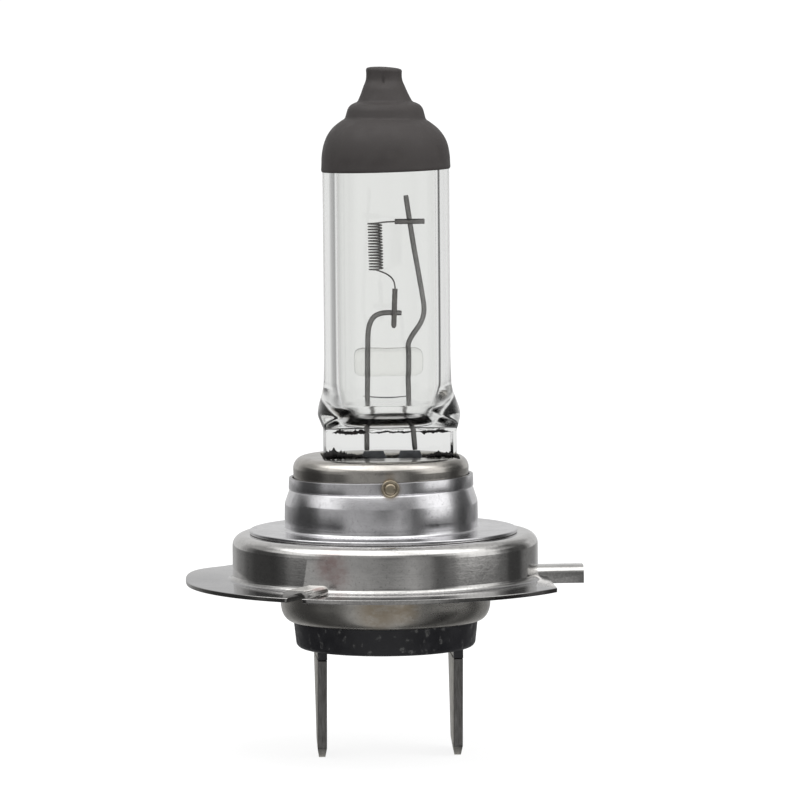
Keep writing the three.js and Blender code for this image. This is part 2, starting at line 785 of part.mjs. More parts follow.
function glassEnvelope() {
  let glass = tubeSolid().add(pinchSolid()).add(shoulderSolid());
  glass = glass.subtract(cavitySolid());
  glass = glass.subtract(channel(longLeadPath)).subtract(channel(shortLeadPath));
  for (const [side, sign] of [["left", -1], ["right", 1]]) {
    const x = FOIL_X[side];
    const lead = wire(outerLeadPath(x, sign), OUTER_LEAD + 2 * CUT_GAP, 8, 20);
    glass = glass.subtract(solidOf(foil(x, CUT_GAP))).subtract(solidOf(lead));
  }
  return geometryOf(glass);
}

add("glass_envelope", glassEnvelope(), quartz);

export default bulb;
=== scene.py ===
import math
import random

import bmesh
import bpy
import numpy as np
from mathutils import Matrix, Vector


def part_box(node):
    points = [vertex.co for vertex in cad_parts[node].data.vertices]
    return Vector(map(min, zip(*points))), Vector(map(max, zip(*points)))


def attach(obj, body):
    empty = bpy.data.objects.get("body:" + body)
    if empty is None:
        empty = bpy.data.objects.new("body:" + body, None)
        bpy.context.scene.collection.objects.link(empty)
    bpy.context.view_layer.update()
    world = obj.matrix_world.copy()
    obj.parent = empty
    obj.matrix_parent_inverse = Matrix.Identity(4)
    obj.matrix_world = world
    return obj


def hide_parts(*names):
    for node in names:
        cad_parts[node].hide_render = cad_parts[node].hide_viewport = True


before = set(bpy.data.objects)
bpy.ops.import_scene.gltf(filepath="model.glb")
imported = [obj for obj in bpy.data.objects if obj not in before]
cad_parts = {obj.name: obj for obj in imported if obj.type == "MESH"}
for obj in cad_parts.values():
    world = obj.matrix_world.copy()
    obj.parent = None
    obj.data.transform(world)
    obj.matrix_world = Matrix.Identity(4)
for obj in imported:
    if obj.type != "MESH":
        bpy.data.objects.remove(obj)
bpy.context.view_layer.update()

MM = 0.001
DEG = math.pi / 180
TURN = 2 * math.pi
ROUND = 192  # sides of a turned piece


def box_mm(node):
    """A CAD node's lowest and highest corners, in millimetres."""
    lo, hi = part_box(node)
    return lo / MM, hi / MM


def middle(node):
    lo, hi = box_mm(node)
    return (lo + hi) / 2


def half_size(node):
    lo, hi = box_mm(node)
    return (hi - lo) / 2


# ---- Places taken from the frame, in millimetres ----

RING_LO, RING_HI = box_mm("prefocus_ring")
SLEEVE_LO, SLEEVE_HI = box_mm("focus_sleeve")
CUP_LO, CUP_HI = box_mm("burner_cup")
SHELL_LO, SHELL_HI = box_mm("base_shell")
INSULATOR_LO, INSULATOR_HI = box_mm("insulator")
PINCH_BOTTOM = box_mm("glass_envelope")[0].z
PAINT_EDGE = box_mm("antiglare_coating")[0].z
TUBE_X = middle("antiglare_coating").x
CUP_X = middle("burner_cup").x
PINCH_X = middle("pinch_clamp_front").x
DISC_X = middle("focus_sleeve").x

# ---- Shape helpers ----


def rounded(corners, closed=True, step=10):
    """A profile of (radius, height, fillet) corners as points, with an arc at each filleted corner."""
    points = []
    count = len(corners)
    for i, (x, z, fillet) in enumerate(corners):
        here = Vector((x, z))
        if fillet <= 0 or (not closed and i in (0, count - 1)):
            points.append(here)
            continue
        back = Vector(corners[i - 1][:2]) - here
        ahead = Vector(corners[(i + 1) % count][:2]) - here
        half = back.angle(ahead) / 2
        reach = min(fillet / math.tan(half), back.length * 0.499, ahead.length * 0.499)
        radius = reach * math.tan(half)
        bisector = (back.normalized() + ahead.normalized()).normalized()
        centre = here + bisector * (radius / math.sin(half))
        start = here + back.normalized() * reach - centre
        end = here + ahead.normalized() * reach - centre
        sweep = start.angle_signed(end)
        steps = max(1, math.ceil(abs(sweep) / (step * DEG)))
        for k in range(steps + 1):
            turned = start.copy()
            turned.rotate(Matrix.Rotation(-sweep * k / steps, 2))
            points.append(centre + turned)
    return points


def both_sides(right):
    """The corners of an outline that is the same on both sides, from its left foot round by the right."""
    left = [(-x, z, fillet) for x, z, fillet in right]
    return left[:1] + right + left[:0:-1]


def rectangle(x, y, half_x, half_y, fillet=0.0):
    corners = both_sides([(half_x, -half_y, fillet), (half_x, half_y, fillet)])
    return [(x + p.x, y + p.y) for p in rounded(corners)]


def ease(value, low, high):
    """0 up to the low value, 1 from the high one, and a smooth rise between."""
    share = min(max((value - low) / (high - low), 0), 1)
    return share * share * (3 - 2 * share)


def bell(offset, width):
    """1 in the middle, falling to 0 on both sides."""
    return math.exp(-((offset / width) ** 2))


def spline(points, spacing):
    """A centripetal Catmull-Rom curve through the points, sampled at about the spacing."""
    knots = [Vector(p) for p in points]
    knots = [2 * knots[0] - knots[1]] + knots + [2 * knots[-1] - knots[-2]]
    samples = []
    for a, b, c, d in zip(knots, knots[1:], knots[2:], knots[3:]):
        t0 = 0.0
        t1 = t0 + math.sqrt((b - a).length)
        t2 = t1 + math.sqrt((c - b).length)
        t3 = t2 + math.sqrt((d - c).length)
        steps = max(1, round((c - b).length / spacing))
        for k in range(steps):
            t = t1 + (t2 - t1) * k / steps
            ab = a.lerp(b, (t - t0) / (t1 - t0))
            bc = b.lerp(c, (t - t1) / (t2 - t1))
            cd = c.lerp(d, (t - t2) / (t3 - t2))
            abc = ab.lerp(bc, (t - t0) / (t2 - t0))
            bcd = bc.lerp(cd, (t - t1) / (t3 - t1))
            samples.append(abc.lerp(bcd, (t - t1) / (t2 - t1)))
    samples.append(knots[-2])
    return samples


def linked(name, data):
    """A new object in the scene that holds the data."""
    obj = bpy.data.objects.new(name, data)
    bpy.context.scene.collection.objects.link(obj)
    return obj


def mesh_object(name, vertices, faces, sharp=40):
    """A smooth-shaded object from vertices in millimetres, with edges over the sharp angle kept crisp."""
    mesh = bpy.data.meshes.new(name)
    mesh.from_pydata([Vector(v) * MM for v in vertices], [], faces)
    mesh.validate()
    bm = bmesh.new()
    bm.from_mesh(mesh)
    bmesh.ops.recalc_face_normals(bm, faces=bm.faces)
    bm.to_mesh(mesh)
    bm.free()
    obj = linked(name, mesh)
    finish_shading(obj, sharp)
    return obj


def finish_shading(obj, sharp):
    obj.data.polygons.foreach_set("use_smooth", [True] * len(obj.data.polygons))
    obj.data.set_sharp_from_angle(angle=sharp * DEG)


def revolve(profile, closed=True, sides=ROUND, centre=(0, 0), warp=None):
    """Vertices and faces of a profile turned about Z. An open profile starts and ends on the axis."""
    vertices, faces, rings = [], [], []
    for p in profile:
        if p.x < 1e-6:
            rings.append([len(vertices)])
            vertices.append(Vector((centre[0], centre[1], p.y)))
            continue
        rings.append(list(range(len(vertices), len(vertices) + sides)))
        for k in range(sides):
            angle = TURN * k / sides
            x = centre[0] + p.x * math.cos(angle)
            y = centre[1] + p.x * math.sin(angle)
            vertices.append(Vector((x, y, p.y)))
    pairs = list(zip(rings, rings[1:]))
    if closed:
        pairs.append((rings[-1], rings[0]))
    for low, high in pairs:
        for k in range(sides):
            n = (k + 1) % sides
            if len(low) == 1 and len(high) == 1:
                break
            if len(low) == 1:
                faces.append((low[0], high[n], high[k]))
            elif len(high) == 1:
                faces.append((low[k], low[n], high[0]))
            else:
                faces.append((low[k], low[n], high[n], high[k]))
    if warp:
        vertices = [warp(v) for v in vertices]
    return vertices, faces


def loft(rings):
    """Vertices and faces of a closed solid through rings of equally many points."""
    count = len(rings[0])
    vertices = [p for ring in rings for p in ring]
    faces = []
    for i in range(len(rings) - 1):
        for k in range(count):
            n = (k + 1) % count
            a, b = i * count, (i + 1) * count
            faces.append((a + k, a + n, b + n, b + k))
    faces.append(tuple(range(count))[::-1])
    faces.append(tuple(range(len(vertices) - count, len(vertices))))
    return vertices, faces


def sweep(path, radius_at, sides):
    """Rings round a path, carried along without twist. radius_at takes the share of the path's length."""
    tangents = []
    for i in range(len(path)):
        ahead = path[min(i + 1, len(path) - 1)]
        behind = path[max(i - 1, 0)]
        tangents.append((ahead - behind).normalized())
    normal = tangents[0].orthogonal().normalized()
    lengths = [0.0]
    for a, b in zip(path, path[1:]):
        lengths.append(lengths[-1] + (b - a).length)
    rings = []
    for i, (p, t) in enumerate(zip(path, tangents)):
        normal = (normal - t * normal.dot(t)).normalized()
        side = t.cross(normal)
        radius = radius_at(lengths[i] / lengths[-1])
        ring = []
        for k in range(sides):
            angle = TURN * k / sides
            ring.append(p + (normal * math.cos(angle) + side * math.sin(angle)) * radius)
        rings.append(ring)
    return loft(rings)


def prism(outline, low, high):
    """A straight solid of an (x, y) outline between two heights."""
    return loft([[Vector((x, y, z)) for x, y in outline] for z in (low, high)])


def bar(outline, start, end):
    """A straight solid of a (y, z) outline between two places along X."""
    return loft([[Vector((x, p.x, p.y)) for p in outline] for x in (start, end)])


def cut(obj, tool_data, operation):
    """Applies a boolean of the tool, given as vertices and faces in millimetres."""
    tool = mesh_object("tool", *tool_data)
    modifier = obj.modifiers.new("boolean", "BOOLEAN")
    modifier.operation = operation
    modifier.solver = "EXACT"
    modifier.object = tool
    apply_modifiers(obj)
    bpy.data.objects.remove(tool)


def apply_modifiers(obj):
    bpy.context.view_layer.update()
    depsgraph = bpy.context.evaluated_depsgraph_get()
    mesh = bpy.data.meshes.new_from_object(obj.evaluated_get(depsgraph))
    old = obj.data
    obj.modifiers.clear()
    obj.data = mesh
    bpy.data.meshes.remove(old)


def soften(obj, width, angle=35):
    """Rounds the hard edges of a solid by a small width in millimetres, and shades it again."""
    modifier = obj.modifiers.new("bevel", "BEVEL")
    modifier.width = width * MM
    modifier.segments = 2
    modifier.limit_method = "ANGLE"
    modifier.angle_limit = angle * DEG
    apply_modifiers(obj)
    finish_shading(obj, 35)


def moved(data, matrix):
    vertices, faces = data
    return [matrix @ Vector(v) for v in vertices], faces


def piece(obj, node, material):
    """Puts a finished piece in the place of its CAD node."""
    obj.data.materials.clear()
    obj.data.materials.append(material)
    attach(obj, "root")
    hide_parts(node)
    return obj


# ---- Materials ----


class Recipe:
    """A node material built up step by step round one Principled shader."""

    def __init__(self, name, color, roughness, metallic=0.0):
        self.material = bpy.data.materials.new(name)
        self.material.use_nodes = True
        self.tree = self.material.node_tree
        self.shader = self.tree.nodes["Principled BSDF"]
        self.shader.inputs["Base Color"].default_value = (*color, 1)
        self.shader.inputs["Roughness"].default_value = roughness
        self.shader.inputs["Metallic"].default_value = metallic
        self.place = self.tree.nodes.new("ShaderNodeNewGeometry").outputs["Position"]

    def node(self, kind, **settings):
        made = self.tree.nodes.new(kind)
        for key, value in settings.items():
            setattr(made, key, value)
        return made

    def link(self, source, target):
        self.tree.links.new(source, target)

    def math(self, operation, a, b=0.0):
        made = self.node("ShaderNodeMath", operation=operation)
        for socket, value in zip(made.inputs, (a, b)):
            if isinstance(value, (int, float)):
                socket.default_value = value
            else:
                self.link(value, socket)
        return made.outputs[0]

    def stretched(self, scale):
        """The place in millimetres, multiplied along each axis."""
        made = self.node("ShaderNodeVectorMath", operation="MULTIPLY")
        made.inputs[1].default_value = [s / MM for s in scale]
        self.link(self.place, made.inputs[0])
        return made.outputs[0]

    def around(self, per_turn, per_mm):
        """Coordinates that run round Z and up it, so that grain follows a turned piece."""
        angle = self.math("ARCTAN2", self.position(1), self.position(0))
        across = self.times(angle, per_turn / TURN)
        up = self.times(self.position(2), per_mm / MM)
        joined = self.node("ShaderNodeCombineXYZ")
        self.link(across, joined.inputs[0])
        self.link(up, joined.inputs[1])
        return joined.outputs[0]

    def times(self, a, b):
        return self.math("MULTIPLY", a, b)

    def mean(self, a, b):
        return self.times(self.math("ADD", a, b), 0.5)

    def position(self, axis):
        apart = self.node("ShaderNodeSeparateXYZ")
        self.link(self.place, apart.inputs[0])
        return apart.outputs[axis]

    def noise(self, vector, scale, detail, rough):
        made = self.node("ShaderNodeTexNoise")
        made.inputs["Scale"].default_value = scale
        made.inputs["Detail"].default_value = detail
        made.inputs["Roughness"].default_value = rough
        self.link(vector, made.inputs["Vector"])
        return made.outputs["Fac"]

    def speckle(self, scale, detail, rough, stretch=(1, 1, 1)):
        """Noise in space, with a scale per millimetre."""
        return self.noise(self.stretched(stretch), scale, detail, rough)

    def spread(self, value, low, high, to_low=0.0, to_high=1.0):
        """A value's range mapped smoothly to another."""
        made = self.node("ShaderNodeMapRange", interpolation_type="SMOOTHSTEP")
        for socket, number in zip(made.inputs[1:5], (low, high, to_low, to_high)):
            socket.default_value = number
        self.link(value, made.inputs[0])
        return made.outputs[0]

    def near(self, centre, inner, outer):
        """1 within the inner distance of a point in millimetres, 0 beyond the outer one."""
        made = self.node("ShaderNodeVectorMath", operation="DISTANCE")
        made.inputs[1].default_value = Vector(centre) * MM
        self.link(self.place, made.inputs[0])
        return self.spread(made.outputs["Value"], inner * MM, outer * MM, 1.0, 0.0)

    def facing(self, axis):
        """How squarely the surface faces along an axis, 0 to 1."""
        geometry = self.node("ShaderNodeNewGeometry")
        apart = self.node("ShaderNodeSeparateXYZ")
        self.link(geometry.outputs["Normal"], apart.inputs[0])
        return self.math("ABSOLUTE", apart.outputs[axis])

    def below(self, height, blur):
        """1 under a height in millimetres, 0 above it."""
        return self.spread(self.position(2), (height - blur) * MM, (height + blur) * MM, 1.0, 0.0)

    def blend_color(self, share, to_color):
        """Mixes the base colour so far towards another by a share."""
        mix = self.node("ShaderNodeMix", data_type="RGBA")
        base = self.shader.inputs["Base Color"]
        if base.links:
            self.link(base.links[0].from_socket, mix.inputs[6])
        else:
            mix.inputs[6].default_value = base.default_value
        mix.inputs[7].default_value = (*to_color, 1)
        self.link(share, mix.inputs[0])
        self.link(mix.outputs[2], base)

    def tint(self, value, low, high, amount, color):
        """Blends a colour in where the value rises from low to high."""
        self.blend_color(self.spread(value, low, high, 0.0, amount), color)

    def rough_by(self, value, low, high):
        """Roughness from low to high along the middle of the value's range."""
        self.link(self.spread(value, 0.3, 0.7, low, high), self.shader.inputs["Roughness"])

    def bump(self, height, strength, distance):
        made = self.node("ShaderNodeBump")
        made.inputs["Strength"].default_value = strength
        made.inputs["Distance"].default_value = distance * MM
        self.link(height, made.inputs["Height"])
        normal = self.shader.inputs["Normal"]
        if normal.links:
            self.link(normal.links[0].from_socket, made.inputs["Normal"])
        self.link(made.outputs[0], normal)


def scaled(color, factor):
    return [min(1, c * factor) for c in color]


def pressed_steel(name, color, rough_low, rough_high, painted_reflection_color, painted_reflection_spots, darken_below=None):
    """Drawn sheet: grain round the axis, cloudy stains, fine pits and scratches, warm spots of painted
    reflection, and below an optional height darker speckles with a painted bluish-dark reflection on upward
    faces.
    """
    recipe = Recipe(name, color, rough_low, 1.0)
    grain = recipe.noise(recipe.around(26, 9), 1.0, 5.0, 0.6)
    cloud = recipe.speckle(0.28, 4.0, 0.6)
    mottle = recipe.speckle(1.1, 4.0, 0.7, (1, 1, 1.6))
    fine = recipe.speckle(5.0, 3.0, 0.6)
    recipe.tint(cloud, 0.42, 0.7, 0.55, scaled(color, 0.68))
    recipe.tint(mottle, 0.45, 0.7, 0.5, scaled(color, 0.7))
    recipe.tint(grain, 0.35, 0.75, 0.3, scaled(color, 0.75))
    recipe.tint(fine, 0.55, 0.72, 0.5, scaled(color, 0.5))
    # Below the height: darker in fine speckles, and a painted bluish-dark reflection on upward faces.
    if darken_below:
        low = recipe.below(darken_below, 0.25)
        recipe.blend_color(recipe.times(low, recipe.spread(fine, 0.3, 0.6, 0.35, 0.75)), scaled(color, 0.5))
        flat = recipe.times(low, recipe.spread(recipe.facing(2), 0.7, 0.95))
        recipe.blend_color(recipe.times(flat, 0.5), (0.2, 0.2, 0.225))
    # Warm spots of painted reflection.
    for centre, inner, outer, strength in painted_reflection_spots:
        spot = recipe.times(recipe.near(centre, inner, outer), strength)
        recipe.blend_color(recipe.times(spot, recipe.spread(mottle, 0.35, 0.6, 0.55, 1.0)), painted_reflection_color)
    recipe.rough_by(recipe.mean(cloud, mottle), rough_low, rough_high)
    for height, distance in ((cloud, 0.012), (grain, 0.002), (mottle, 0.006), (fine, 0.003)):
        recipe.bump(height, 0.3, distance)
    return recipe.material


def bright_steel(name, color, rough_low, rough_high, tint_at, painted_shade_above):
    """Bright drawn sheet with scuffs, fine scratches, heat tint at the welds, and painted shade on upward
    faces above a height.
    """
    recipe = Recipe(name, color, rough_low, 1.0)
    grain = recipe.noise(recipe.around(40, 14), 1.0, 5.0, 0.65)
    cloud = recipe.speckle(0.4, 4.0, 0.6)
    slanted = recipe.speckle(1.3, 6.0, 0.75, (1.1, 1.1, 0.75))
    fine = recipe.speckle(4.5, 3.0, 0.6)
    recipe.tint(cloud, 0.42, 0.75, 0.5, scaled(color, 0.7))
    recipe.tint(slanted, 0.52, 0.7, 0.45, scaled(color, 0.58))
    recipe.tint(grain, 0.5, 0.75, 0.35, scaled(color, 1.2))
    recipe.tint(fine, 0.58, 0.72, 0.4, scaled(color, 0.5))
    for centre in tint_at:
        recipe.blend_color(recipe.times(recipe.near(centre, 0.55, 1.1), 0.8), (0.2, 0.14, 0.075))
        above = Vector(centre) + Vector((0, 0, 1.0))
        recipe.blend_color(recipe.times(recipe.near(above, 0.1, 0.8), 0.45), (0.3, 0.2, 0.1))
    # Upward faces above the height are darkened: painted shade that hides the rim's highlight.
    upward = recipe.spread(recipe.facing(2), 0.25, 0.7)
    painted_rim_shade = recipe.times(upward, recipe.math("SUBTRACT", 1.0, recipe.below(painted_shade_above, 0.05)))
    recipe.blend_color(recipe.times(painted_rim_shade, 0.9), scaled(color, 0.3))
    recipe.rough_by(recipe.mean(cloud, slanted), rough_low, rough_high)
    for height, distance in ((cloud, 0.012), (grain, 0.0015), (slanted, 0.006)):
        recipe.bump(height, 0.3, distance)
    return recipe.material


def dark_paint():
    recipe = Recipe("antiglare_paint", (0.03, 0.0262, 0.0253), 0.62)
    recipe.shader.inputs["Specular IOR Level"].default_value = 0.3
    cloud = recipe.speckle(0.9, 5.0, 0.6)
    fine = recipe.speckle(9.0, 3.0, 0.6)
    recipe.tint(cloud, 0.35, 0.75, 0.6, (0.04, 0.036, 0.035))
    recipe.tint(fine, 0.55, 0.75, 0.3, (0.055, 0.05, 0.048))
    recipe.rough_by(cloud, 0.5, 0.72)
    recipe.bump(cloud, 0.15, 0.08)
    recipe.bump(fine, 0.25, 0.02)
    return recipe.material


def clear_quartz(name, color, worked=None):
    """Fused quartz with drawing lines along it, less clear between two heights where it was worked."""
    recipe = Recipe(name, color, 0.0)
    recipe.shader.inputs["Transmission Weight"].default_value = 1.0
    recipe.shader.inputs["IOR"].default_value = 1.458
    recipe.bump(recipe.speckle(1.0, 2.0, 0.5, (1.2, 1.2, 0.03)), 0.05, 0.05)
    if worked:
        low, high = worked
        band = recipe.math("SUBTRACT", recipe.below(high, 0.5), recipe.below(low, 0.15))
        recipe.link(recipe.times(band, 0.14), recipe.shader.inputs["Roughness"])
    return recipe.material


def drawn_wire(name, color, grain_scale):
    recipe = Recipe(name, color, 0.4, 1.0)
    grain = recipe.speckle(1.0, 4.0, 0.6, grain_scale)
    cloud = recipe.speckle(1.4, 3.0, 0.6)
    recipe.tint(cloud, 0.4, 0.7, 0.5, scaled(color, 0.6))
    recipe.tint(grain, 0.5, 0.75, 0.4, scaled(color, 1.5))
    recipe.rough_by(grain, 0.3, 0.5)
    recipe.bump(grain, 0.2, 0.02)
    return recipe.material


def black_moulding():
    """Heat-resistant plastic with mineral specks, dusty scuffs and a dull skin."""
    recipe = Recipe("black_plastic", (0.007, 0.007, 0.009), 0.42)
    cloud = recipe.speckle(0.8, 4.0, 0.6)
    specks = recipe.speckle(1.9, 2.0, 0.4, (1, 1, 0.8))
    fine = recipe.speckle(6.5, 3.0, 0.6)
    recipe.tint(cloud, 0.45, 0.75, 0.6, (0.014, 0.014, 0.017))
    scuffs = recipe.times(recipe.spread(specks, 0.6, 0.72), recipe.spread(fine, 0.4, 0.6, 0.2, 1))
    recipe.blend_color(recipe.times(scuffs, 0.55), (0.12, 0.12, 0.115))
    recipe.rough_by(cloud, 0.34, 0.6)
    recipe.bump(fine, 0.18, 0.03)
    return recipe.material


def blade_strip():
    """Plated strip: lines along the rolled faces; the long sheared edges darker, partly from their rougher
    shear and partly as painted shade, with coarser shear marks.
    """
    recipe = Recipe("blade_steel", (0.7, 0.68, 0.62), 0.3, 1.0)
    lines = recipe.speckle(1.0, 5.0, 0.7, (6, 3.5, 0.25))
    shear = recipe.speckle(1.6, 5.0, 0.75, (5, 5, 0.5))
    cloud = recipe.speckle(0.9, 4.0, 0.6)
    recipe.tint(cloud, 0.45, 0.75, 0.6, (0.2, 0.19, 0.165))
    recipe.tint(lines, 0.55, 0.75, 0.35, (0.6, 0.59, 0.56))
    # The sheared edges, facing along Y, are darkened: partly their own rougher shear, partly painted shade.
    edge = recipe.spread(recipe.facing(1), 0.45, 0.8)
    recipe.blend_color(recipe.times(edge, 0.95), (0.17, 0.165, 0.162))
    streak = recipe.spread(shear, 0.45, 0.7, 0.0, 0.7)
    recipe.blend_color(recipe.times(edge, streak), (0.3, 0.295, 0.29))
    gouge = recipe.spread(shear, 0.48, 0.3, 0.0, 0.6)
    recipe.blend_color(recipe.times(edge, gouge), (0.07, 0.068, 0.066))
    recipe.rough_by(lines, 0.3, 0.52)
    recipe.bump(lines, 0.25, 0.03)
    recipe.bump(recipe.times(shear, edge), 0.3, 0.05)
    return recipe.material


def painted_shade_recipe():
    """Near-black with brown and grey flecks: painted shade for the dark strips at the slot's ends and along
    the pinch's edge.
    """
    recipe = Recipe("painted_shade_black", (0.005, 0.004, 0.004), 0.8)
    cloud = recipe.speckle(2.0, 4.0, 0.6)
    fine = recipe.speckle(9.0, 3.0, 0.6)
    recipe.tint(cloud, 0.55, 0.75, 0.6, (0.04, 0.024, 0.02))
    recipe.tint(fine, 0.66, 0.76, 0.4, (0.14, 0.125, 0.12))
    recipe.rough_by(cloud, 0.55, 0.9)
    recipe.bump(fine, 0.6, 0.06)
    return recipe.material


SLEEVE_NECK_RADIUS = 7.84
WELD_HEIGHT = middle("sleeve_weld_1").z
WELD_ANGLES = [-88, 32, 152]


def on_sleeve(angle, radius, height):
    return Vector((CUP_X + radius * math.cos(angle * DEG), radius * math.sin(angle * DEG), height))


WELD_CENTRES = [on_sleeve(a, SLEEVE_NECK_RADIUS, WELD_HEIGHT) for a in WELD_ANGLES]

# The ring's warm spots on the drum are painted reflections; below the flange's top it is darker, with a
# painted bluish-dark reflection on upward faces.
ring_steel = pressed_steel(
    "stamped_steel_ring",
    (0.6, 0.59, 0.575),
    0.08,
    0.15,
    (0.34, 0.235, 0.225),
    [((-5.3, -11.8, 17.4), 0.3, 2.0, 0.75), ((-4.6, -12.1, 16.3), 0.2, 1.4, 0.5)],
    15.35,
)
# The shell's brownish spots are painted reflections.
shell_steel = pressed_steel(
    "stamped_steel_shell",
    (0.66, 0.64, 0.6),
    0.24,
    0.34,
    (0.36, 0.27, 0.16),
    [((-1.2, -8.8, 13.3), 0.6, 2.6, 0.6), ((1.2, -8.8, 13.2), 0.3, 1.8, 0.6)],
)
sleeve_steel = bright_steel("bright_steel_sleeve", (0.66, 0.655, 0.67), 0.12, 0.24, WELD_CENTRES, 23.4)
cup_steel = bright_steel("bright_steel_cup", (0.45, 0.43, 0.4), 0.15, 0.26, WELD_CENTRES, 40.0)
paint = dark_paint()
quartz = clear_quartz("quartz_glass", (0.966, 0.972, 0.96), (27.9, 30.6))
bead_quartz = clear_quartz("quartz_bead", (0.97, 0.97, 0.955))
molybdenum = drawn_wire("molybdenum_wire", (0.21, 0.205, 0.2), (8, 8, 1.2))
tungsten = drawn_wire("tungsten_wire", (0.15, 0.142, 0.135), (6, 6, 6))
foil_metal = drawn_wire("molybdenum_foil", (0.12, 0.125, 0.135), (3, 3, 0.6))
weld_metal = drawn_wire("weld_metal", (0.38, 0.33, 0.25), (5, 5, 5))
black_plastic = black_moulding()
painted_shade_material = painted_shade_recipe()
blade_steel = blade_strip()

# ---- Prefocus ring ----

RING_SHEET = 0.38
DRUM_RADIUS = 13.0
DRUM_HOLE_RADIUS = 8.75
DRUM_TOP = RING_HI.z
FLANGE_RADIUS = RING_HI.y
FLANGE_BOTTOM = RING_LO.z
FLANGE_TOP = FLANGE_BOTTOM + RING_SHEET
FLANGE_FLAT_X = 13.7
FLANGE_BEND = 0.25  # upwards, at its far left
BOSS_WIDTH = 2.3
# Angle, foot and top. The key lug is the first: it stands a little prouder and reaches a little lower.
BOSSES = [(0, FLANGE_BOTTOM - 0.26, 15.97), (120, FLANGE_BOTTOM, 15.8), (240, FLANGE_BOTTOM, 15.75)]


def boss_bar(inset, foot, top, start, end, angle):
    """An upturned U along +X, inset from the boss's outside, turned to its place."""
    half = BOSS_WIDTH / 2 - inset
    arch = rounded(both_sides([(half, foot, 0), (half, top - inset, half * 0.8)]), step=9)
    return moved(bar(arch, start, end), Matrix.Rotation(angle * DEG, 3, "Z"))


def prefocus_ring():
    """The drum, its flange with one flat edge, and the three hollow bosses across the flange."""
    inside = DRUM_RADIUS - RING_SHEET
    under = DRUM_TOP - RING_SHEET
    profile = rounded([
        (inside, FLANGE_BOTTOM, 0.85), (FLANGE_RADIUS, FLANGE_BOTTOM, 0.09),
        (FLANGE_RADIUS, FLANGE_TOP, 0.06),
        (DRUM_RADIUS, FLANGE_TOP, 0.5), (DRUM_RADIUS, DRUM_TOP, 1.0), (DRUM_HOLE_RADIUS, DRUM_TOP, 0.08),
        (DRUM_HOLE_RADIUS, under, 0.08), (inside, under, 0.62),
    ])
    ring = mesh_object("ring", *revolve(profile))
    reach = FLANGE_RADIUS + 2
    beyond_flat = rectangle(FLANGE_FLAT_X + reach, 0, reach, reach)
    cut(ring, prism(beyond_flat, FLANGE_BOTTOM - 1, FLANGE_TOP + 0.6), "DIFFERENCE")
    for angle, foot, top in BOSSES:
        cut(ring, boss_bar(0, foot, top, DRUM_RADIUS - RING_SHEET / 2, FLANGE_RADIUS - 0.12, angle), "UNION")
        hollow = boss_bar(RING_SHEET, foot - 1, top, DRUM_RADIUS + 0.1, FLANGE_RADIUS + 1, angle)
        cut(ring, hollow, "DIFFERENCE")
    soften(ring, 0.07)
    for v in ring.data.vertices:
        x, y, z = v.co / MM
        bend = FLANGE_BEND * ease(-x, DRUM_RADIUS, FLANGE_RADIUS) * ease(y, -3, 5)
        v.co.z += bend * MM * (1 - ease(z, FLANGE_TOP, FLANGE_TOP + 0.5))
    return piece(ring, "prefocus_ring", ring_steel)


prefocus_ring()

# ---- Focus sleeve ----

SLEEVE_SHEET = 0.3
SLEEVE_BODY_RADIUS = 8.2
SLEEVE_FOOT_RADIUS = 8.27
SLEEVE_LEAN = 0.016  # rise of the rim for each millimetre along +X
SLEEVE_TOP = SLEEVE_HI.z
DISC_RADIUS = half_size("focus_sleeve").x
DISC_BOTTOM = SLEEVE_LO.z
DISC_TOP = DISC_BOTTOM + SLEEVE_SHEET


def focus_sleeve():
    """A disc, a shallow band at the body's foot, a slope to the neck, and a groove under the rim."""
    neck, body, foot = SLEEVE_NECK_RADIUS, SLEEVE_BODY_RADIUS, SLEEVE_FOOT_RADIUS
    sheet = SLEEVE_SHEET
    profile = rounded([
        (DISC_RADIUS, DISC_BOTTOM, 0.05), (DISC_RADIUS, DISC_TOP, 0.1), (body + 0.01, DISC_TOP, 0.85),
        (body, 19.75, 0.15), (body + 0.03, 20.3, 0.15), (body, 21.6, 1.0), (neck + 0.01, 22.65, 0.5),
        (neck - 0.06, 22.79, 0.04), (neck + 0.02, 22.88, 0.05), (neck - 0.01, SLEEVE_TOP, 0.06),
        (neck - sheet, SLEEVE_TOP, 0.06), (neck - sheet - 0.03, 22.75, 0.9), (body - sheet, 21.5, 1.2),
        (foot - sheet, DISC_BOTTOM, 1.15),
    ])
    shift = DISC_X - CUP_X

    def off_centre(v):
        share = (math.hypot(v.x, v.y) - foot) / (DISC_RADIUS - foot)
        lean = v.x * SLEEVE_LEAN * ease(v.z, DISC_TOP + 0.6, SLEEVE_TOP)
        return Vector((v.x + CUP_X + shift * min(max(share, 0), 1), v.y, v.z + lean))

    sleeve = mesh_object("sleeve", *revolve(profile, warp=off_centre))
    return piece(sleeve, "focus_sleeve", sleeve_steel)


focus_sleeve()


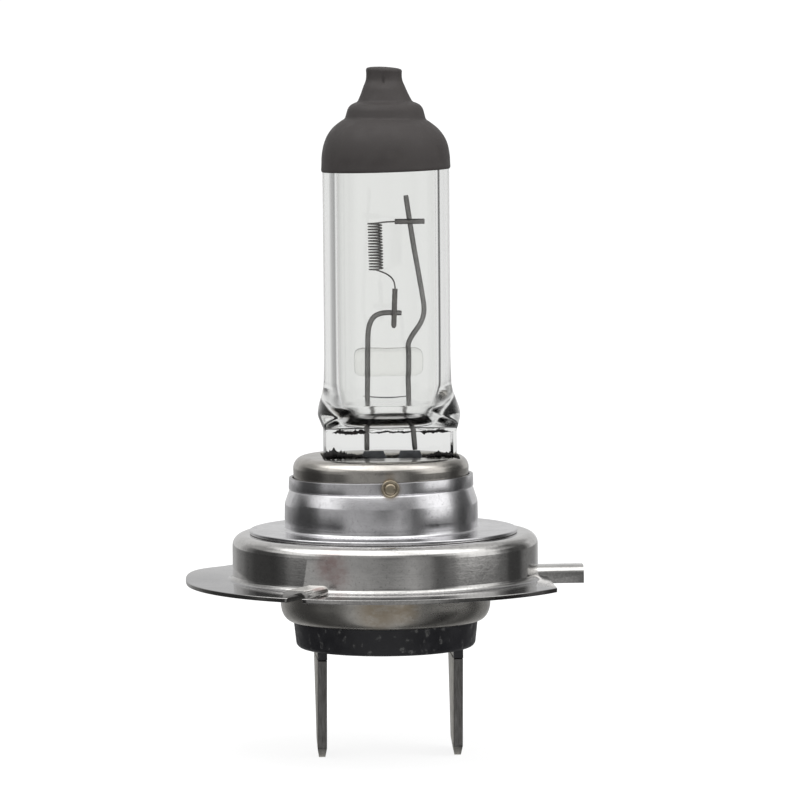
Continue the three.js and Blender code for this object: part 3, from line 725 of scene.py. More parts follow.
def weld_spot(index, angle):
    """A nugget in a shallow crater with a raised rim, set into the sleeve's neck."""
    sides = 48
    section = [
        (0.5, -0.28), (0.74, -0.1), (0.76, 0.0), (0.72, 0.05), (0.64, 0.06), (0.56, 0.02), (0.5, -0.02),
        (0.46, 0.03), (0.38, 0.1), (0.25, 0.135), (0.1, 0.15),
    ]
    profile = spline([(r, SLEEVE_NECK_RADIUS + h) for r, h in section], 0.03)
    vertices, faces = revolve(profile, closed=False, sides=sides)
    faces += [tuple(range(sides))[::-1], tuple(range(len(vertices) - sides, len(vertices)))]
    upright = Matrix.Rotation(angle * DEG, 4, "Z") @ Matrix.Rotation(math.pi / 2, 4, "Y")
    place = Matrix.Translation((CUP_X, 0, WELD_HEIGHT)) @ upright
    obj = mesh_object(f"weld_spot_{index}", *moved((vertices, faces), place))
    return piece(obj, f"sleeve_weld_{index}", weld_metal)


for number, weld_angle in enumerate(WELD_ANGLES, 1):
    weld_spot(number, weld_angle)

# ---- Burner cup ----

CUP_SHEET = 0.4
CUP_RADIUS = half_size("burner_cup").x
CUP_FOOT_RADIUS = CUP_RADIUS - 0.1
CUP_TOP = CUP_HI.z + 0.22
SLOT_HALF_WIDTH = 5.8
SLOT_HALF_DEPTH = 3.0


def burner_cup():
    inside = CUP_RADIUS - CUP_SHEET
    under = CUP_TOP - CUP_SHEET
    profile = rounded([
        (0, CUP_TOP, 0), (CUP_RADIUS, CUP_TOP, 1.0), (CUP_FOOT_RADIUS, CUP_TOP - 2.5, 0.5),
        (CUP_FOOT_RADIUS, CUP_LO.z, 0.08), (inside, CUP_LO.z, 0.08), (inside, under, 0.6), (0, under, 0),
    ], closed=False)
    cup = mesh_object("cup", *revolve(profile, closed=False, centre=(CUP_X, 0)))
    slot = rectangle(PINCH_X, 0, SLOT_HALF_WIDTH, SLOT_HALF_DEPTH, 0.6)
    cut(cup, prism(slot, CUP_TOP - 2, CUP_TOP + 1), "DIFFERENCE")
    soften(cup, 0.1, angle=50)
    return piece(cup, "burner_cup", cup_steel)


burner_cup()

# ---- Base shell ----

SHELL_SHEET = 0.5
SHELL_RADIUS = 8.93
SHELL_LIP_RADIUS = 7.98
SHELL_FLANGE_RADIUS = half_size("base_shell").x


def rolled(reach, rise, foot):
    """The quarter oval by which the shell's wall turns in to its lip."""
    angles = [math.pi / 2 * k / 12 for k in range(13)]
    return [Vector((SHELL_LIP_RADIUS + reach * math.sin(a), foot + rise * (1 - math.cos(a)))) for a in angles]


def base_shell():
    inside = SHELL_RADIUS - SHELL_SHEET
    top, bottom = SHELL_HI.z, SHELL_LO.z
    under = top - SHELL_SHEET
    wall = rounded([
        (SHELL_RADIUS, bottom + 1.7, 0), (SHELL_RADIUS, under, 0.5), (SHELL_FLANGE_RADIUS, under, 0.08),
        (SHELL_FLANGE_RADIUS, top, 0.08), (inside, top, 0.7), (inside, bottom + 1.9, 0),
    ], closed=False)
    outer = rolled(SHELL_RADIUS - SHELL_LIP_RADIUS, 1.5, bottom)
    inner = rolled(inside - SHELL_LIP_RADIUS, 1.1, bottom + SHELL_SHEET)
    shell = mesh_object("shell", *revolve(outer + wall + inner[::-1]))
    return piece(shell, "base_shell", shell_steel)


base_shell()

# ---- Insulator ----

SIDES = ("left", "right")
INSULATOR_RADIUS = 7.84
INSULATOR_FOOT_RADIUS = 7.6
STUB_DEPTH = 0.75
STUB_Y = 3.0  # each blade has a stub at both ends of its slot


def insulator():
    bottom = INSULATOR_LO.z + STUB_DEPTH
    waist = SHELL_LO.z + SHELL_SHEET + 0.25
    head = half_size("insulator").x
    profile = rounded([
        (0, bottom, 0), (INSULATOR_FOOT_RADIUS, bottom, 0.5), (INSULATOR_RADIUS, SHELL_LO.z - 0.1, 0.2),
        (INSULATOR_RADIUS, waist, 0.1), (head, waist + 0.3, 0.1), (head, INSULATOR_HI.z, 0.2),
        (0, INSULATOR_HI.z, 0),
    ], closed=False)
    body = mesh_object("insulator_body", *revolve(profile, closed=False))
    for side in SIDES:
        x = middle(f"terminal_blade_{side}").x
        for y in (-STUB_Y, STUB_Y):
            cut(body, prism(rectangle(x, y, 0.4, 0.24), INSULATOR_LO.z, bottom + 0.3), "UNION")
        slot = rectangle(x, 0, 0.36, 2.75)
        cut(body, prism(slot, INSULATOR_LO.z - 1, INSULATOR_HI.z + 1), "DIFFERENCE")
    soften(body, 0.08, angle=50)
    return piece(body, "insulator", black_plastic)


insulator()

# ---- Terminal blades ----

BLADE_HALF_THICKNESS = 0.4
TIP_HALF_THICKNESS = 0.27
TANG_HALF_THICKNESS = 0.31
TANG_HALF_WIDTH = 2.7


def terminal_blade(side):
    """A tab with a wedge tip, and a narrower, thinner tang inside the insulator."""
    node = f"terminal_blade_{side}"
    x = middle(node).x
    half = half_size(node).y
    top = box_mm(node)[1].z
    shoulder = INSULATOR_LO.z - 0.05
    outline = rounded(both_sides([
        (half - 1.1, 0, 0.5), (half, 0.95, 0.6), (half, shoulder, 0.1), (TANG_HALF_WIDTH, shoulder, 0.05),
        (TANG_HALF_WIDTH, top, 0.3),
    ]), step=15)
    blade = mesh_object(f"blade_{side}", *bar(outline, -BLADE_HALF_THICKNESS, BLADE_HALF_THICKNESS))
    wedge = rounded(both_sides([
        (TIP_HALF_THICKNESS, -1, 0), (TIP_HALF_THICKNESS, 0.0, 0.1), (BLADE_HALF_THICKNESS, 0.9, 0.6),
        (BLADE_HALF_THICKNESS, shoulder, 0.03), (TANG_HALF_THICKNESS, shoulder, 0.03),
        (TANG_HALF_THICKNESS, top + 1, 0),
    ]))
    across = [[Vector((p.x, y, p.y)) for p in wedge] for y in (-half - 1, half + 1)]
    cut(blade, loft(across), "INTERSECT")
    soften(blade, 0.07)
    # Each blade is twisted and leans a little below the insulator.
    for v in blade.data.vertices:
        down = max(1 - v.co.z / MM / shoulder, 0)
        twist = Matrix.Rotation((-0.2 - 2.3 * down) * DEG, 3, "Z")
        v.co = twist @ v.co + Vector(((x + 0.05 * down) * MM, 0, 0))
    return piece(blade, node, blade_steel)


for blade_side in SIDES:
    terminal_blade(blade_side)

# ---- Glass envelope ----

TUBE_RADIUS = 5.37
BORE_RADIUS = 4.2
PAINT_THICKNESS = 0.1
DOME = [
    (5.46, 50.3), (5.43, 51.0), (5.27, 51.9), (4.96, 52.7), (4.45, 53.4), (3.8, 53.92), (3.5, 54.1),
]
LEDGE = [(3.4, 54.25), (3.31, 54.55), (3.18, 54.95), (2.96, 55.25), (2.66, 55.43), (2.4, 55.53)]
NIB = [(2.28, 55.65), (2.02, 56.2), (1.76, 56.85), (1.56, 57.35), (1.51, 57.85), (1.53, 58.2)]
NIB_TOP = [(1.46, 58.33), (1.22, 58.41), (0.8, 58.46), (0.35, 58.49)]


def dome_profile(inset, spacing):
    """The painted dome, its ledge and the exhaust tip, drawn inwards by an inset."""
    points = []
    for stretch in (DOME, LEDGE, NIB, NIB_TOP):
        points += spline(stretch, spacing)
    return [Vector((p.x - inset, p.y - inset * 0.4)) for p in points if p.x - inset > 0.05]


PINCH_TOP = 27.65
PINCH_HALF_WIDTH = 5.6
PINCH_HALF_THICKNESS = 2.1
SHOULDER_HALF_WIDTH = half_size("glass_envelope").x
SHOULDER_HEIGHT = 29.2
NECK_FOOT = 27.95
TUBE_FOOT = 30.05
RIB_INSIDE = 4.85
PAD_DEPTH = 0.14


def ragged(x):
    """A small uneven height along the pinch, where the jaws' pads chilled the glass."""
    return 0.035 * math.sin(x * 2.9 + 1.0) + 0.03 * math.sin(x * 7.3) + 0.02 * math.sin(x * 17.1 + 0.5)


def quarter_section(z, a, b, full, power, x_mid, side, count):
    """One quarter of a section, from +X to +Y: an oval of half height full, pressed flat to b."""
    dense = []
    for k in range(541):
        angle = math.pi / 2 * k / 540
        x = a * math.cos(angle) ** (2 / power)
        y = full * math.sin(angle) ** (2 / power)
        if y > 1e-6 and b < full:
            y = (y**-10 + b**-10) ** -0.1
        if z < PINCH_TOP + 0.4:
            inside = 1 - ease(x, RIB_INSIDE - 0.4, RIB_INSIDE + 0.5)
            edge = PINCH_TOP + ragged(side * x + x_mid)
            y -= PAD_DEPTH * inside * (1 - ease(z, edge - 0.05, edge + 0.05)) * min(1, y / b)
        dense.append((x, y))
    dense = np.array(dense)
    lengths = np.concatenate(([0], np.cumsum(np.hypot(*np.diff(dense, axis=0).T))))
    at = np.linspace(0, lengths[-1], count + 1)
    return [(np.interp(d, lengths, dense[:, 0]), np.interp(d, lengths, dense[:, 1])) for d in at]


def section_ring(x, z, a, b, full=None, power=2.0, count=48):
    full = full or b
    right = quarter_section(z, a, b, full, power, x, 1, count)
    left = quarter_section(z, a, b, full, power, x, -1, count)
    half = right[:-1] + [(-px, py) for px, py in left[::-1]]
    lower = [(-px, -py) for px, py in left[1:]] + [(px, -py) for px, py in right[-2:0:-1]]
    return [Vector((x + px, py, z)) for px, py in half + lower]


def half_depth(z):
    """How far the pressed shoulder reaches to the front and back at a height."""
    straight = min(max((z - NECK_FOOT) / (TUBE_FOOT - NECK_FOOT), 0), 1)
    share = (straight + ease(z, NECK_FOOT, TUBE_FOOT)) / 2
    return PINCH_HALF_THICKNESS + (TUBE_RADIUS - PINCH_HALF_THICKNESS) * share


def outer_rings():
    """The outside of the glass, from the foot of the pinch to the exhaust tip."""
    rings = []
    heights = [PINCH_BOTTOM + 0.1 * k for k in range(5)]
    heights += [PINCH_BOTTOM + 0.9 + k * 0.8 for k in range(12)]
    heights += [PINCH_TOP - 0.3 + 0.025 * k for k in range(25)]
    heights += [PINCH_TOP + 0.4 + 0.08 * k for k in range(46)]
    for z in heights:
        to_tube = ease(z, PINCH_TOP, 31.7)
        spread = 1.0 if z < SHOULDER_HEIGHT else 1.7
        flare = bell(z - SHOULDER_HEIGHT, spread) * ease(z, PINCH_TOP - 0.05, PINCH_TOP + 0.5)
        a = PINCH_HALF_WIDTH + (TUBE_RADIUS - PINCH_HALF_WIDTH) * to_tube
        a += (SHOULDER_HALF_WIDTH - 5.57) * flare
        power = 3.4 + (2 - 3.4) * ease(z, PINCH_TOP, 29.2)
        foot = 0.25 * (1 - ease(z, PINCH_BOTTOM, PINCH_BOTTOM + 0.3))
        x = PINCH_X + (TUBE_X - PINCH_X) * to_tube
        rings.append(section_ring(x, z, a - foot, half_depth(z) - foot, TUBE_RADIUS, power))
    for z in (34.0, 38.0, 42.0, 46.0, 49.6):
        rings.append(section_ring(TUBE_X, z, TUBE_RADIUS, TUBE_RADIUS))
    for p in dome_profile(PAINT_THICKNESS + 0.03, 0.35):
        # The exhaust tip is squeezed and leans as its paint does, and keeps well inside it.
        tip = ease(p.y, 56.2, 57.3)
        radius = p.x - 0.1 * tip
        x = TUBE_X - 0.09 * ease(p.y, 54.6, 57.2)
        rings.append(section_ring(x, p.y - 0.14 * tip, radius, radius * (1 - 0.14 * tip)))
    return rings


BORE_FOOT = 28.7
BORE_CORNER = 30.2


def bore_rings():
    """The hollow, from its bowl above the pinch to the inside of the dome."""
    rings = []
    steps = 40
    for k in range(1, steps + 1):
        share = math.sin(math.pi / 2 * k / steps)
        z = BORE_FOOT + (BORE_CORNER - BORE_FOOT) * (1 - max(0, 1 - share**3) ** (1 / 3))
        b = min(BORE_RADIUS, half_depth(z) - 0.8 - 0.24 * (1 - share))
        rings.append(section_ring(TUBE_X, z, BORE_RADIUS * share, b * share))
    for z in (31.0, 36.0, 41.0, 46.0):
        rings.append(section_ring(TUBE_X, z, BORE_RADIUS, BORE_RADIUS))
    for k in range(0, 24):
        angle = math.pi / 2 * k / 24
        radius = BORE_RADIUS * math.cos(angle) ** 0.8
        rings.append(section_ring(TUBE_X, 50.0 + 2.9 * math.sin(angle), radius, radius))
    return rings


def glass_envelope():
    outer = loft(outer_rings())
    inner = loft(bore_rings())
    shift = len(outer[0])
    # The hollow's faces look into the hollow, so they are turned round after both shells are closed.
    shell = mesh_object("outer_shell", *outer, sharp=60)
    hollow = mesh_object("hollow", *inner, sharp=60)
    hollow.data.flip_normals()
    bm = bmesh.new()
    bm.from_mesh(shell.data)
    bm.from_mesh(hollow.data)
    mesh = bpy.data.meshes.new("envelope")
    bm.to_mesh(mesh)
    bm.free()
    bpy.data.objects.remove(hollow)
    shell.data = mesh
    shell.name = "envelope"
    finish_shading(shell, 60)
    return piece(shell, "glass_envelope", quartz)


glass_envelope()

# ---- Paint ----


PAINT_SWELLING = [(5.41, 0), (5.445, 0.06), (5.485, 0.16), (5.475, 0.3)]  # radius and height over the edge
DIMPLE_X = -0.25
DIMPLE_HEIGHT = 57.2


def dipped(v):
    """Moves a point of an even coat: a slanted edge, an uneven ledge, a leaning tip with a dimple."""
    x, y, z = v
    z += 0.13 * x / 5.5 * (1 - ease(z, PAINT_EDGE, PAINT_EDGE + 1.5))
    z -= 0.035 * x * ease(z, 51.5, 53.8) * (1 - ease(z, 54.1, 55.2)) * ease(x, 0, 2)
    x -= 0.09 * ease(z, 54.6, 57.2)
    z -= 0.055 * x * ease(z, 57.3, 58.5)
    y *= 1 - 0.14 * ease(z, 56.6, 57.5)
    if y < 0 and abs(x) < 1.2 and z > 56.2:
        reach = 0.14 if z < DIMPLE_HEIGHT else 0.36
        y += 0.17 * bell(x - DIMPLE_X, 0.1) * bell(z - DIMPLE_HEIGHT, reach)
    z += 0.05 * bell(z - 54.6, 0.5) * math.sin(math.atan2(y, x) * 2 + 0.6)
    return Vector((x + TUBE_X, y, z))


def paint_coat():
    """Dipped paint with a slightly swollen lower edge."""
    edge = PAINT_EDGE
    inner = [Vector((5.38, edge))] + dome_profile(PAINT_THICKNESS, 0.35)
    outer = [Vector((radius, edge + rise)) for radius, rise in PAINT_SWELLING] + dome_profile(0, 0.12)
    profile = [Vector((0, inner[-1].y))] + inner[::-1] + outer + [Vector((0, outer[-1].y + 0.003))]
    coat = mesh_object("paint_coat", *revolve(profile, closed=False, warp=dipped), sharp=70)
    return piece(coat, "antiglare_coating", paint)


paint_coat()

# ---- Leads, crimps and filament ----

LEAD_RADIUS = 0.225
OUTER_LEAD_RADIUS = 0.39
FOIL_RISE = 0.2
FOIL_TOP = middle("molybdenum_foil_left").z + 3.275 + FOIL_RISE


def flat_path(points, spacing=0.2, y=0.0):
    return spline([(x, y, z) for x, z in points], spacing)


LONG_LEAD = [
    (1.99, 47.6), (2.56, 43.8), (3.38, 39.05), (3.5, 38.2), (3.46, 37.5), (3.2, 36.8), (2.38, 35.6),
    (2.12, 35.0), (2.1, 34.2), (2.1, 31.5), (2.25, 29.5), (2.45, 27.4), (2.57, FOIL_TOP + 0.05),
]
SHORT_LEAD = [
    (1.55, 37.64), (0.9, 37.68), (-0.15, 37.64), (-0.78, 37.36), (-1.15, 36.75), (-1.3, 36.0), (-1.35, 34.4),
    (-1.41, 31.5), (-1.5, 29.8), (-1.53, FOIL_TOP + 0.05),
]


def cut_end(radius, chamfer=0.012):
    """A wire's radius along its length, eased at both cut ends."""
    def at(share):
        end = min(share, 1 - share)
        return radius * (0.86 + 0.14 * min(1, end / chamfer))
    return at


def wire_piece(name, node, points, radius=LEAD_RADIUS):
    obj = mesh_object(name, *sweep(flat_path(points), cut_end(radius), 20))
    return piece(obj, node, molybdenum)


wire_piece("long_lead", "long_lead_wire", LONG_LEAD)
wire_piece("short_lead", "short_lead_wire", SHORT_LEAD)

CRIMP_Y = -0.5
UPPER_CRIMP = [(1.0, 45.43), (3.5, 45.43)]
LOWER_CRIMP = [(0.97, 39.74), (0.84, 36.4)]
CRIMP_RADIUS = 0.238


def crimp(name, node, ends, pointed):
    """A short tube pressed on a leg, with four soft grooves along it."""
    path = flat_path(ends, 0.08, CRIMP_Y)
    sides = 28

    def radius(share):
        tip = min(1, (1 - share) / 0.06) if pointed else 1
        return CRIMP_RADIUS * (0.45 + 0.55 * tip) * (1 + 0.02 * math.sin(share * 40))

    vertices, faces = sweep(path, radius, sides)
    grooved = []
    for i, v in enumerate(vertices):
        angle = TURN * (i % sides) / sides
        pull = 0.12 * max(bell(angle - groove, 0.2) for groove in (0.9, 2.3, 4.0, 5.4))
        axis = path[i // sides]
        grooved.append(axis + (v - axis) * (1 - pull))
    return piece(mesh_object(name, grooved, faces), node, tungsten)


crimp("upper_crimp", "upper_filament_sleeve", UPPER_CRIMP, False)
crimp("lower_crimp", "lower_filament_sleeve", LOWER_CRIMP, True)

COIL_RADIUS = 0.575
COIL_WIRE_RADIUS = 0.066
COIL_TURNS = 16
COIL_TOP = Vector((-0.65, 0, 45.3))
COIL_FOOT = Vector((-0.57, 0, 41.3))
LOWER_LEG = [
    (0.98, -0.5, 39.6), (0.97, -0.48, 39.95), (0.87, -0.4, 40.38), (0.6, -0.05, 40.76), (0.05, 0.42, 41.08),
]
UPPER_LEG = [(-0.3, -0.57, 45.34), (0.25, -0.55, 45.4), (1.1, -0.5, 45.43)]


def filament():
    """The coil winds upwards to the right; its lower leg leaves from the back, its upper from the front."""
    coil = []
    per_turn = 30
    steps = int((COIL_TURNS + 0.5) * per_turn)
    for i in range(steps + 1):
        angle = (90 + 360 * i / per_turn) * DEG
        centre = COIL_FOOT.lerp(COIL_TOP, i / steps)
        wobble = 1 + 0.02 * math.sin(angle * 0.37) + 0.015 * math.sin(angle * 1.9)
        coil.append(centre + Vector((math.cos(angle), math.sin(angle), 0)) * COIL_RADIUS * wobble)
    lower = spline(LOWER_LEG + [tuple(coil[0])], 0.08)
    upper = spline([tuple(coil[-1])] + UPPER_LEG, 0.08)
    path = lower[:-1] + coil + upper[1:]
    obj = mesh_object("filament", *sweep(path, lambda share: COIL_WIRE_RADIUS, 10))
    return piece(obj, "filament_coil", tungsten)


filament()

# ---- Quartz bridge ----


def bulged(angle, power):
    """A cosine with fuller shoulders."""
    return math.copysign(abs(math.cos(angle)) ** power, math.cos(angle))


def quartz_bridge():
    """A rounded bead, slightly pinched near its middle."""
    centre = middle("quartz_bridge")
    half = half_size("quartz_bridge")
    rings = []
    steps, sides = 48, 40
    for k in range(1, steps):
        angle = math.pi * k / steps
        x = -half.x * bulged(angle, 0.35)
        swell = math.sin(angle) ** 0.35
        pinch = 1 - 0.06 * bell(x - 0.1, 1.3)
        ring = []
        for i in range(sides):
            a = TURN * i / sides
            y = half.y * swell * bulged(a, 0.8)
            z = half.z * swell * pinch * bulged(a - math.pi / 2, 0.62)
            ring.append(centre + Vector((x, y, z)))
        rings.append(ring)
    bead = mesh_object("bead", *loft(rings), sharp=80)
    return piece(bead, "quartz_bridge", bead_quartz)


quartz_bridge()

# ---- Foils, outer leads and clamp leaves ----


FOIL_ROWS = 40
FOIL_TOP_HALF_WIDTH = 0.85
# Its section: share of the half width, and place along Y.
FOIL_SECTION = [
    (1, 0), (0.6, 0.035), (0, 0.04), (-0.6, 0.035), (-1, 0), (-0.6, -0.035), (0, -0.04), (0.6, -0.035),
]


def foil(side, seed):
    """Thin foil, thinner still at its long edges, with slightly uneven sides."""
    node = f"molybdenum_foil_{side}"
    lo, hi = box_mm(node)
    hi.z += FOIL_RISE
    x = middle(node).x
    wide = half_size(node).x
    rings = []
    rng = random.Random(seed)
    for k in range(FOIL_ROWS + 1):
        z = lo.z + (hi.z - lo.z) * k / FOIL_ROWS
        taper = (wide - FOIL_TOP_HALF_WIDTH) * ease(z, hi.z - 0.85, hi.z)
        half = wide - taper + rng.uniform(-0.03, 0.03)
        rings.append([Vector((x + share * half, y, z)) for share, y in FOIL_SECTION])
    return piece(mesh_object(f"foil_{side}", *loft(rings)), node, foil_metal)


def outer_lead(side, sign):
    """A wire from the foil down to the blade's tang."""
    foil_x = middle(f"molybdenum_foil_{side}").x
    lo, hi = box_mm(f"outer_lead_{side}")
    landing = lo.x + 0.4 if sign < 0 else hi.x - 0.4
    # Share of the way out from the foil to the blade, and height.
    bends = [
        (0, hi.z), (0, PINCH_BOTTOM + 0.4), (0.12, PINCH_BOTTOM - 0.4), (0.55, PINCH_BOTTOM - 1.1),
        (0.9, lo.z + 1.4), (1, lo.z + 0.8), (1, lo.z + 0.02),
    ]
    points = [(foil_x + (landing - foil_x) * share, z) for share, z in bends]
    wire_piece(f"outer_wire_{side}", f"outer_lead_{side}", points, OUTER_LEAD_RADIUS)


LEAF_SHEET = 0.3


def clamp_leaf(side, sign):
    """A sprung leaf: a strip bent from the pinch's face out under the cup's top."""
    node = f"pinch_clamp_{side}"
    lo, hi = box_mm(node)
    near, far = sorted((abs(lo.y), abs(hi.y)))
    under = hi.z - LEAF_SHEET
    section = rounded([
        (near, lo.z, 0.1), (near + LEAF_SHEET, lo.z, 0.1), (near + LEAF_SHEET, under, 0.15),
        (far, under, 0.1), (far, hi.z, 0.1), (near, hi.z, 0.42),
    ])
    outline = [Vector((sign * p.x, p.y)) for p in section]
    obj = mesh_object(f"clamp_leaf_{side}", *bar(outline, lo.x, hi.x))
    soften(obj, 0.05)
    return piece(obj, node, cup_steel)


for wire_side, wire_sign, foil_seed in (("left", -1, 11), ("right", 1, 12)):
    foil(wire_side, foil_seed)
    outer_lead(wire_side, wire_sign)
clamp_leaf("front", -1)
clamp_leaf("back", 1)

# ---- Painted shade: dark strips at the slot and along the pinch ----


def ragged_strip(name, points, thick, seed):
    """A ragged dark strip of uneven section along (x, y, z, half height) points, used as painted shade."""
    rng = random.Random(seed)
    path = spline([p[:3] for p in points], 0.09)
    heights = spline([(p[3], 0.0, float(i)) for i, p in enumerate(points)], 0.02)
    rings = []
    for i, p in enumerate(path):
        share = i / (len(path) - 1)
        half = heights[round(share * (len(heights) - 1))].x
        half *= rng.uniform(0.55, 1.25) * min(1, 0.2 + 8 * min(share, 1 - share))
        lift = rng.uniform(-0.3, 0.3) * half
        ring = []
        for k in range(10):
            a = TURN * k / 10
            bite = rng.uniform(0.8, 1.15)
            ring.append(p + Vector((0, thick * math.cos(a) * bite, lift + half * math.sin(a) * bite)))
        rings.append(ring)
    obj = mesh_object(name, *loft(rings), sharp=60)
    obj.data.materials.append(painted_shade_material)
    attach(obj, "root")
    return obj


PINCH_FACE = -PINCH_HALF_THICKNESS
SHADE_STRIP_Y = PINCH_FACE - 0.12
# Dark strips of painted shade round the ends of the cup's slot: x, y, height above the cup and half height.
LEFT_SHADE_STRIPS = [
    (-5.3, -1.6, 0.45, 0.2), (-5.2, SHADE_STRIP_Y - 0.1, 0.5, 0.3), (-4.6, SHADE_STRIP_Y - 0.15, 0.6, 0.42),
    (-3.9, SHADE_STRIP_Y - 0.1, 0.5, 0.32), (-3.1, SHADE_STRIP_Y, 0.42, 0.2), (-2.4, SHADE_STRIP_Y, 0.35, 0.15),
    (-1.6, SHADE_STRIP_Y, 0.25, 0.1),
]
RIGHT_SHADE_STRIPS = [
    (3.3, SHADE_STRIP_Y, 0.2, 0.12), (3.9, SHADE_STRIP_Y, 0.35, 0.22), (4.4, SHADE_STRIP_Y - 0.05, 0.45, 0.26),
    (5.0, SHADE_STRIP_Y - 0.1, 0.4, 0.2), (5.4, SHADE_STRIP_Y - 0.1, 0.4, 0.24), (5.75, SHADE_STRIP_Y, 0.38, 0.2),
]
for strip_side, strip_points, strip_depth, strip_seed in (
    ("left", LEFT_SHADE_STRIPS, 0.28, 3), ("right", RIGHT_SHADE_STRIPS, 0.24, 4),
):
    strip_line = [(x, y, CUP_HI.z + rise, half) for x, y, rise, half in strip_points]
    ragged_strip(f"slot_shade_strip_{strip_side}", strip_line, strip_depth, strip_seed)

# Dark strips painting the dark lines of shade along the jaws' upper edge: start and end along X, and half
# their height.
PAINTED_DARK_LINES = [(-4.4, -1.7, 0.19), (-1.0, 2.2, 0.09), (2.9, 5.3, 0.16)]


def painted_dark_line(number, start, end, half):
    points = []
    for k in range(7):
        x = start + (end - start) * k / 6
        points.append((x, PINCH_FACE - 0.03, PINCH_TOP + 0.02 + ragged(x), half))
    return ragged_strip(f"painted_dark_line_{number}", points, 0.04, number + 4)


for number, line in enumerate(PAINTED_DARK_LINES, 1):
    painted_dark_line(number, *line)

# ---- Camera ----

CAMERA_AZIMUTH = -3.79
CAMERA_DISTANCE = 450.0
CAMERA_HEIGHT = 66.54
CAMERA_LENS = 239.07
AIM_ASIDE = 1.361
AIM_HEIGHT = 30.215
CAMERA_ROLL = 0.448


def looking(place, aim):
    """The matrix of a camera or lamp at a place, turned to its aim."""
    return Matrix.Translation(place) @ (aim - place).to_track_quat("-Z", "Y").to_matrix().to_4x4()


def camera():
    azimuth = CAMERA_AZIMUTH * DEG
    right = Vector((math.cos(azimuth), math.sin(azimuth), 0))
    back = Vector((math.sin(azimuth), -math.cos(azimuth), 0))
    eye = back * CAMERA_DISTANCE + Vector((0, 0, CAMERA_HEIGHT))
    aim = right * AIM_ASIDE + Vector((0, 0, AIM_HEIGHT))
    data = bpy.data.cameras.new("camera")
    data.lens = CAMERA_LENS
    data.sensor_width = 36
    data.clip_start = 0.01
    data.clip_end = 100
    obj = linked("camera", data)
    roll = Matrix.Rotation(-CAMERA_ROLL * DEG, 4, "Z")
    obj.matrix_world = looking(eye * MM, aim * MM) @ roll
    bpy.context.scene.camera = obj


camera()

# ---- Studio ----


FLOOR_HALF = 40.0
FLOOR_HEIGHT = -0.00002  # just under the blades' tips
FLOOR_COLOR = (0.2, 0.2, 0.2)
FLOOR_GLOW = 0.86


def floor():
    """A glowing table top that metal and glass don't see."""
    mesh = bpy.data.meshes.new("floor")
    corners = [(-1, -1), (1, -1), (1, 1), (-1, 1)]
    mesh.from_pydata([(x * FLOOR_HALF, y * FLOOR_HALF, FLOOR_HEIGHT) for x, y in corners], [], [(0, 1, 2, 3)])
    obj = linked("floor", mesh)
    recipe = Recipe("floor", FLOOR_COLOR, 0.9)
    recipe.shader.inputs["Specular IOR Level"].default_value = 0.0
    recipe.shader.inputs["Emission Color"].default_value = (1, 1, 1, 1)
    recipe.shader.inputs["Emission Strength"].default_value = FLOOR_GLOW
    mesh.materials.append(recipe.material)
    obj.visible_glossy = False
    obj.visible_transmission = False


floor()


def ramp(recipe, share, cards):
    """A colour ramp from (azimuth in degrees, brightness) stops, with azimuth 0 towards the front."""
    made = recipe.node("ShaderNodeValToRGB")
    made.color_ramp.interpolation = "EASE"
    stops = made.color_ramp.elements
    while len(stops) > 1:
        stops.remove(stops[-1])
    for i, (azimuth, level) in enumerate(cards):
        at = azimuth / 360 + 0.5
        stop = stops[0] if i == 0 else stops.new(at)
        stop.position = at
        stop.color = (level, level, level, 1)
    recipe.link(share, made.inputs[0])
    return made.outputs[0]


# Brightness of the surroundings by azimuth: on the table, just above its far edge, and higher up.
# They are dark to the left and right rear, with a narrow dark gap at the right and a large lamp beyond it.
TABLE_CARDS = [
    (-180, 0.5), (-160, 0.45), (-141, 0.25), (-127, 0.11), (-116, 0.06), (-90, 0.05), (-84, 0.06),
    (-78, 0.11), (-66, 0.04), (-54, 0.06), (-44, 0.42), (-33, 0.52), (-20, 0.43), (-3, 0.42), (7, 0.47),
    (16, 0.5), (28, 0.34), (34, 0.17), (43, 0.11), (50, 0.1), (62, 0.02), (74, 0.03), (87, 0.13),
    (96, 0.14), (101, 0.06), (114, 0.06), (124, 0.22), (141, 0.27), (160, 0.5), (180, 0.5),
]
EDGE_CARDS = [
    (-180, 0.7), (-146, 0.7), (-134, 0.45), (-124, 0.2), (-115, 0.08), (-94, 0.08), (-86, 0.18),
    (-78, 0.48), (-40, 0.46), (-20, 0.42), (-2, 0.22), (7, 0.26), (16, 0.44), (26, 0.32), (36, 0.12),
    (46, 0.34), (56, 1.05), (66, 1.3), (82, 1.2), (94, 0.26), (104, 0.08), (124, 0.12), (131, 0.35),
    (138, 0.7), (180, 0.7),
]
HIGH_CARDS = [
    (-180, 0.82), (-150, 0.75), (-130, 0.45), (-112, 0.45), (-97, 0.95), (-84, 1.35), (-72, 1.35),
    (-60, 1.0), (-50, 0.6), (-39, 0.46), (-15, 0.45), (10, 0.36), (29, 0.29), (39, 0.42), (50, 1.05),
    (61, 1.45), (73, 1.5), (86, 1.4), (100, 0.45), (118, 0.15), (143, 0.42), (160, 0.75), (180, 0.82),
]
TOP_CARDS = [
    (-180, 0.8), (-140, 0.75), (-118, 1.2), (-100, 2.9), (-60, 2.8), (-22, 2.4), (0, 2.2), (20, 1.6),
    (40, 2.2), (75, 2.6), (100, 1.0), (140, 0.7), (180, 0.8),
]
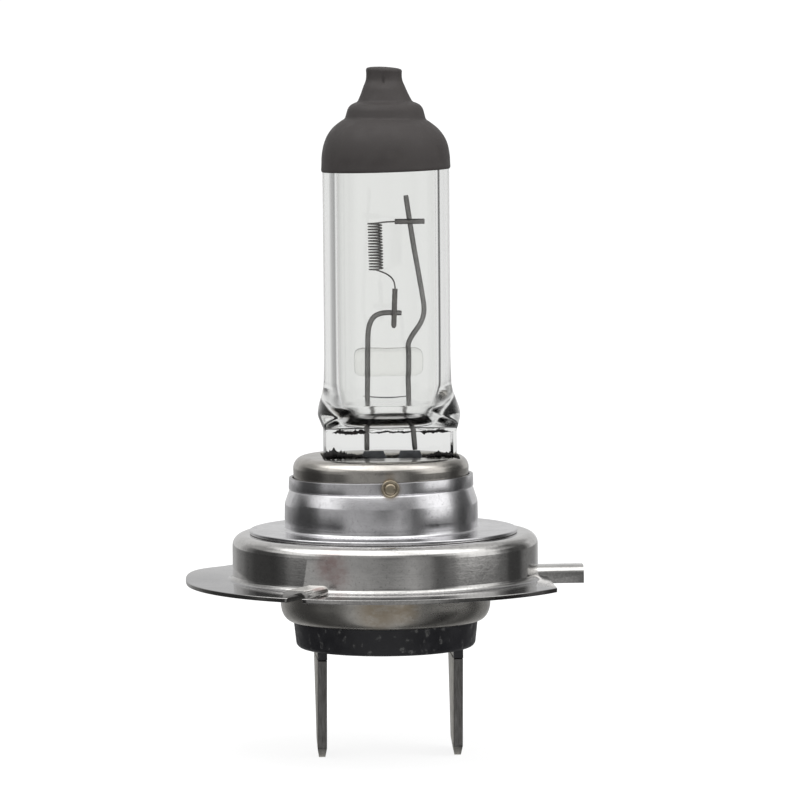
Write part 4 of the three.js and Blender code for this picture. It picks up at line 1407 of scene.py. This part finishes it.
# What the glass bends into view: even and pale, darker along both sides and below.
GLASS_CARDS = [
    (-180, 0.82), (-160, 0.82), (-153, 0.6), (-147, 0.45), (-136, 0.36), (-130, 0.82), (-124, 0.82),
    (-112, 0.3), (-80, 0.3), (-62, 0.82), (78, 0.82), (90, 0.35), (104, 0.35), (116, 0.82), (125, 0.82),
    (129, 0.12), (133, 0.12), (137, 0.82), (180, 0.82),
]
GLASS_BELOW = 0.06
TENT_RADIUS = 0.25
TENT_FOOT, TENT_ROOF = -0.2, 0.5
TENT_EYE = 0.017  # the height from which the tents' bands are measured


def tent(name, bands, seen_by):
    """A closed drum of soft cards round the bulb. Bands are (cards, start, end) in degrees of elevation."""
    sides = 96
    vertices = []
    for z in (TENT_FOOT, TENT_ROOF):
        for k in range(sides):
            a = TURN * k / sides
            vertices.append((TENT_RADIUS * math.cos(a), TENT_RADIUS * math.sin(a), z))
    faces = [(k, (k + 1) % sides, sides + (k + 1) % sides, sides + k) for k in range(sides)]
    faces += [tuple(range(sides)), tuple(range(sides, 2 * sides))]
    mesh = bpy.data.meshes.new(name)
    mesh.from_pydata(vertices, [], faces)
    obj = linked(name, mesh)
    recipe = Recipe(name, (0, 0, 0), 1.0)
    apart = recipe.node("ShaderNodeSeparateXYZ")
    recipe.link(recipe.place, apart.inputs[0])
    # Azimuth as a share of a turn: 0.5 is towards the front, less is to its left, more to its right.
    back_y = recipe.math("MULTIPLY", apart.outputs[1], -1.0)
    angle = recipe.math("ARCTAN2", apart.outputs[0], back_y)
    share = recipe.math("ADD", recipe.math("DIVIDE", angle, TURN), 0.5)
    color = None
    for cards, start, end in bands:
        level = ramp(recipe, share, cards)
        if color:
            heights = [TENT_EYE + TENT_RADIUS * math.tan(e * DEG) for e in (start, end)]
            rise = recipe.spread(apart.outputs[2], *heights)
            mix = recipe.node("ShaderNodeMix", data_type="RGBA")
            recipe.link(rise, mix.inputs[0])
            recipe.link(color, mix.inputs[6])
            recipe.link(level, mix.inputs[7])
            level = mix.outputs[2]
        color = level
    emission = recipe.node("ShaderNodeEmission")
    recipe.link(color, emission.inputs[0])
    recipe.link(emission.outputs[0], recipe.tree.nodes["Material Output"].inputs[0])
    mesh.materials.append(recipe.material)
    for kind in ("camera", "diffuse", "shadow", "volume_scatter"):
        setattr(obj, f"visible_{kind}", False)
    obj.visible_glossy = seen_by == "glossy"
    obj.visible_transmission = seen_by == "transmission"
    return obj


METAL_BANDS = [(TABLE_CARDS, 0, 0), (EDGE_CARDS, -3.2, -1.2), (HIGH_CARDS, 14, 22), (TOP_CARDS, 32, 44)]
GLASS_BANDS = [([(-180, GLASS_BELOW), (180, GLASS_BELOW)], 0, 0), (GLASS_CARDS, -50, -38)]
tent("metal_tent", METAL_BANDS, "glossy")
tent("glass_tent", GLASS_BANDS, "transmission")


def soft_light(name, place, size, power):
    data = bpy.data.lights.new(name, "AREA")
    data.shape = "DISK"
    data.size = size
    data.energy = power
    obj = linked(name, data)
    obj.matrix_world = looking(Vector(place), Vector((0, 0, 0.03)))
    obj.visible_camera = False
    obj.visible_glossy = False


soft_light("top_light", (0.0, -0.1, 0.6), 0.5, 2.0)
soft_light("right_light", (0.45, -0.25, 0.35), 0.4, 1.0)


def white_world():
    world = bpy.data.worlds.new("studio")
    world.use_nodes = True
    background = world.node_tree.nodes["Background"]
    background.inputs[0].default_value = (1, 1, 1, 1)
    background.inputs[1].default_value = 1.05
    bpy.context.scene.world = world


white_world()
bpy.context.scene.view_settings.view_transform = "Standard"
bpy.context.scene.view_settings.look = "None"
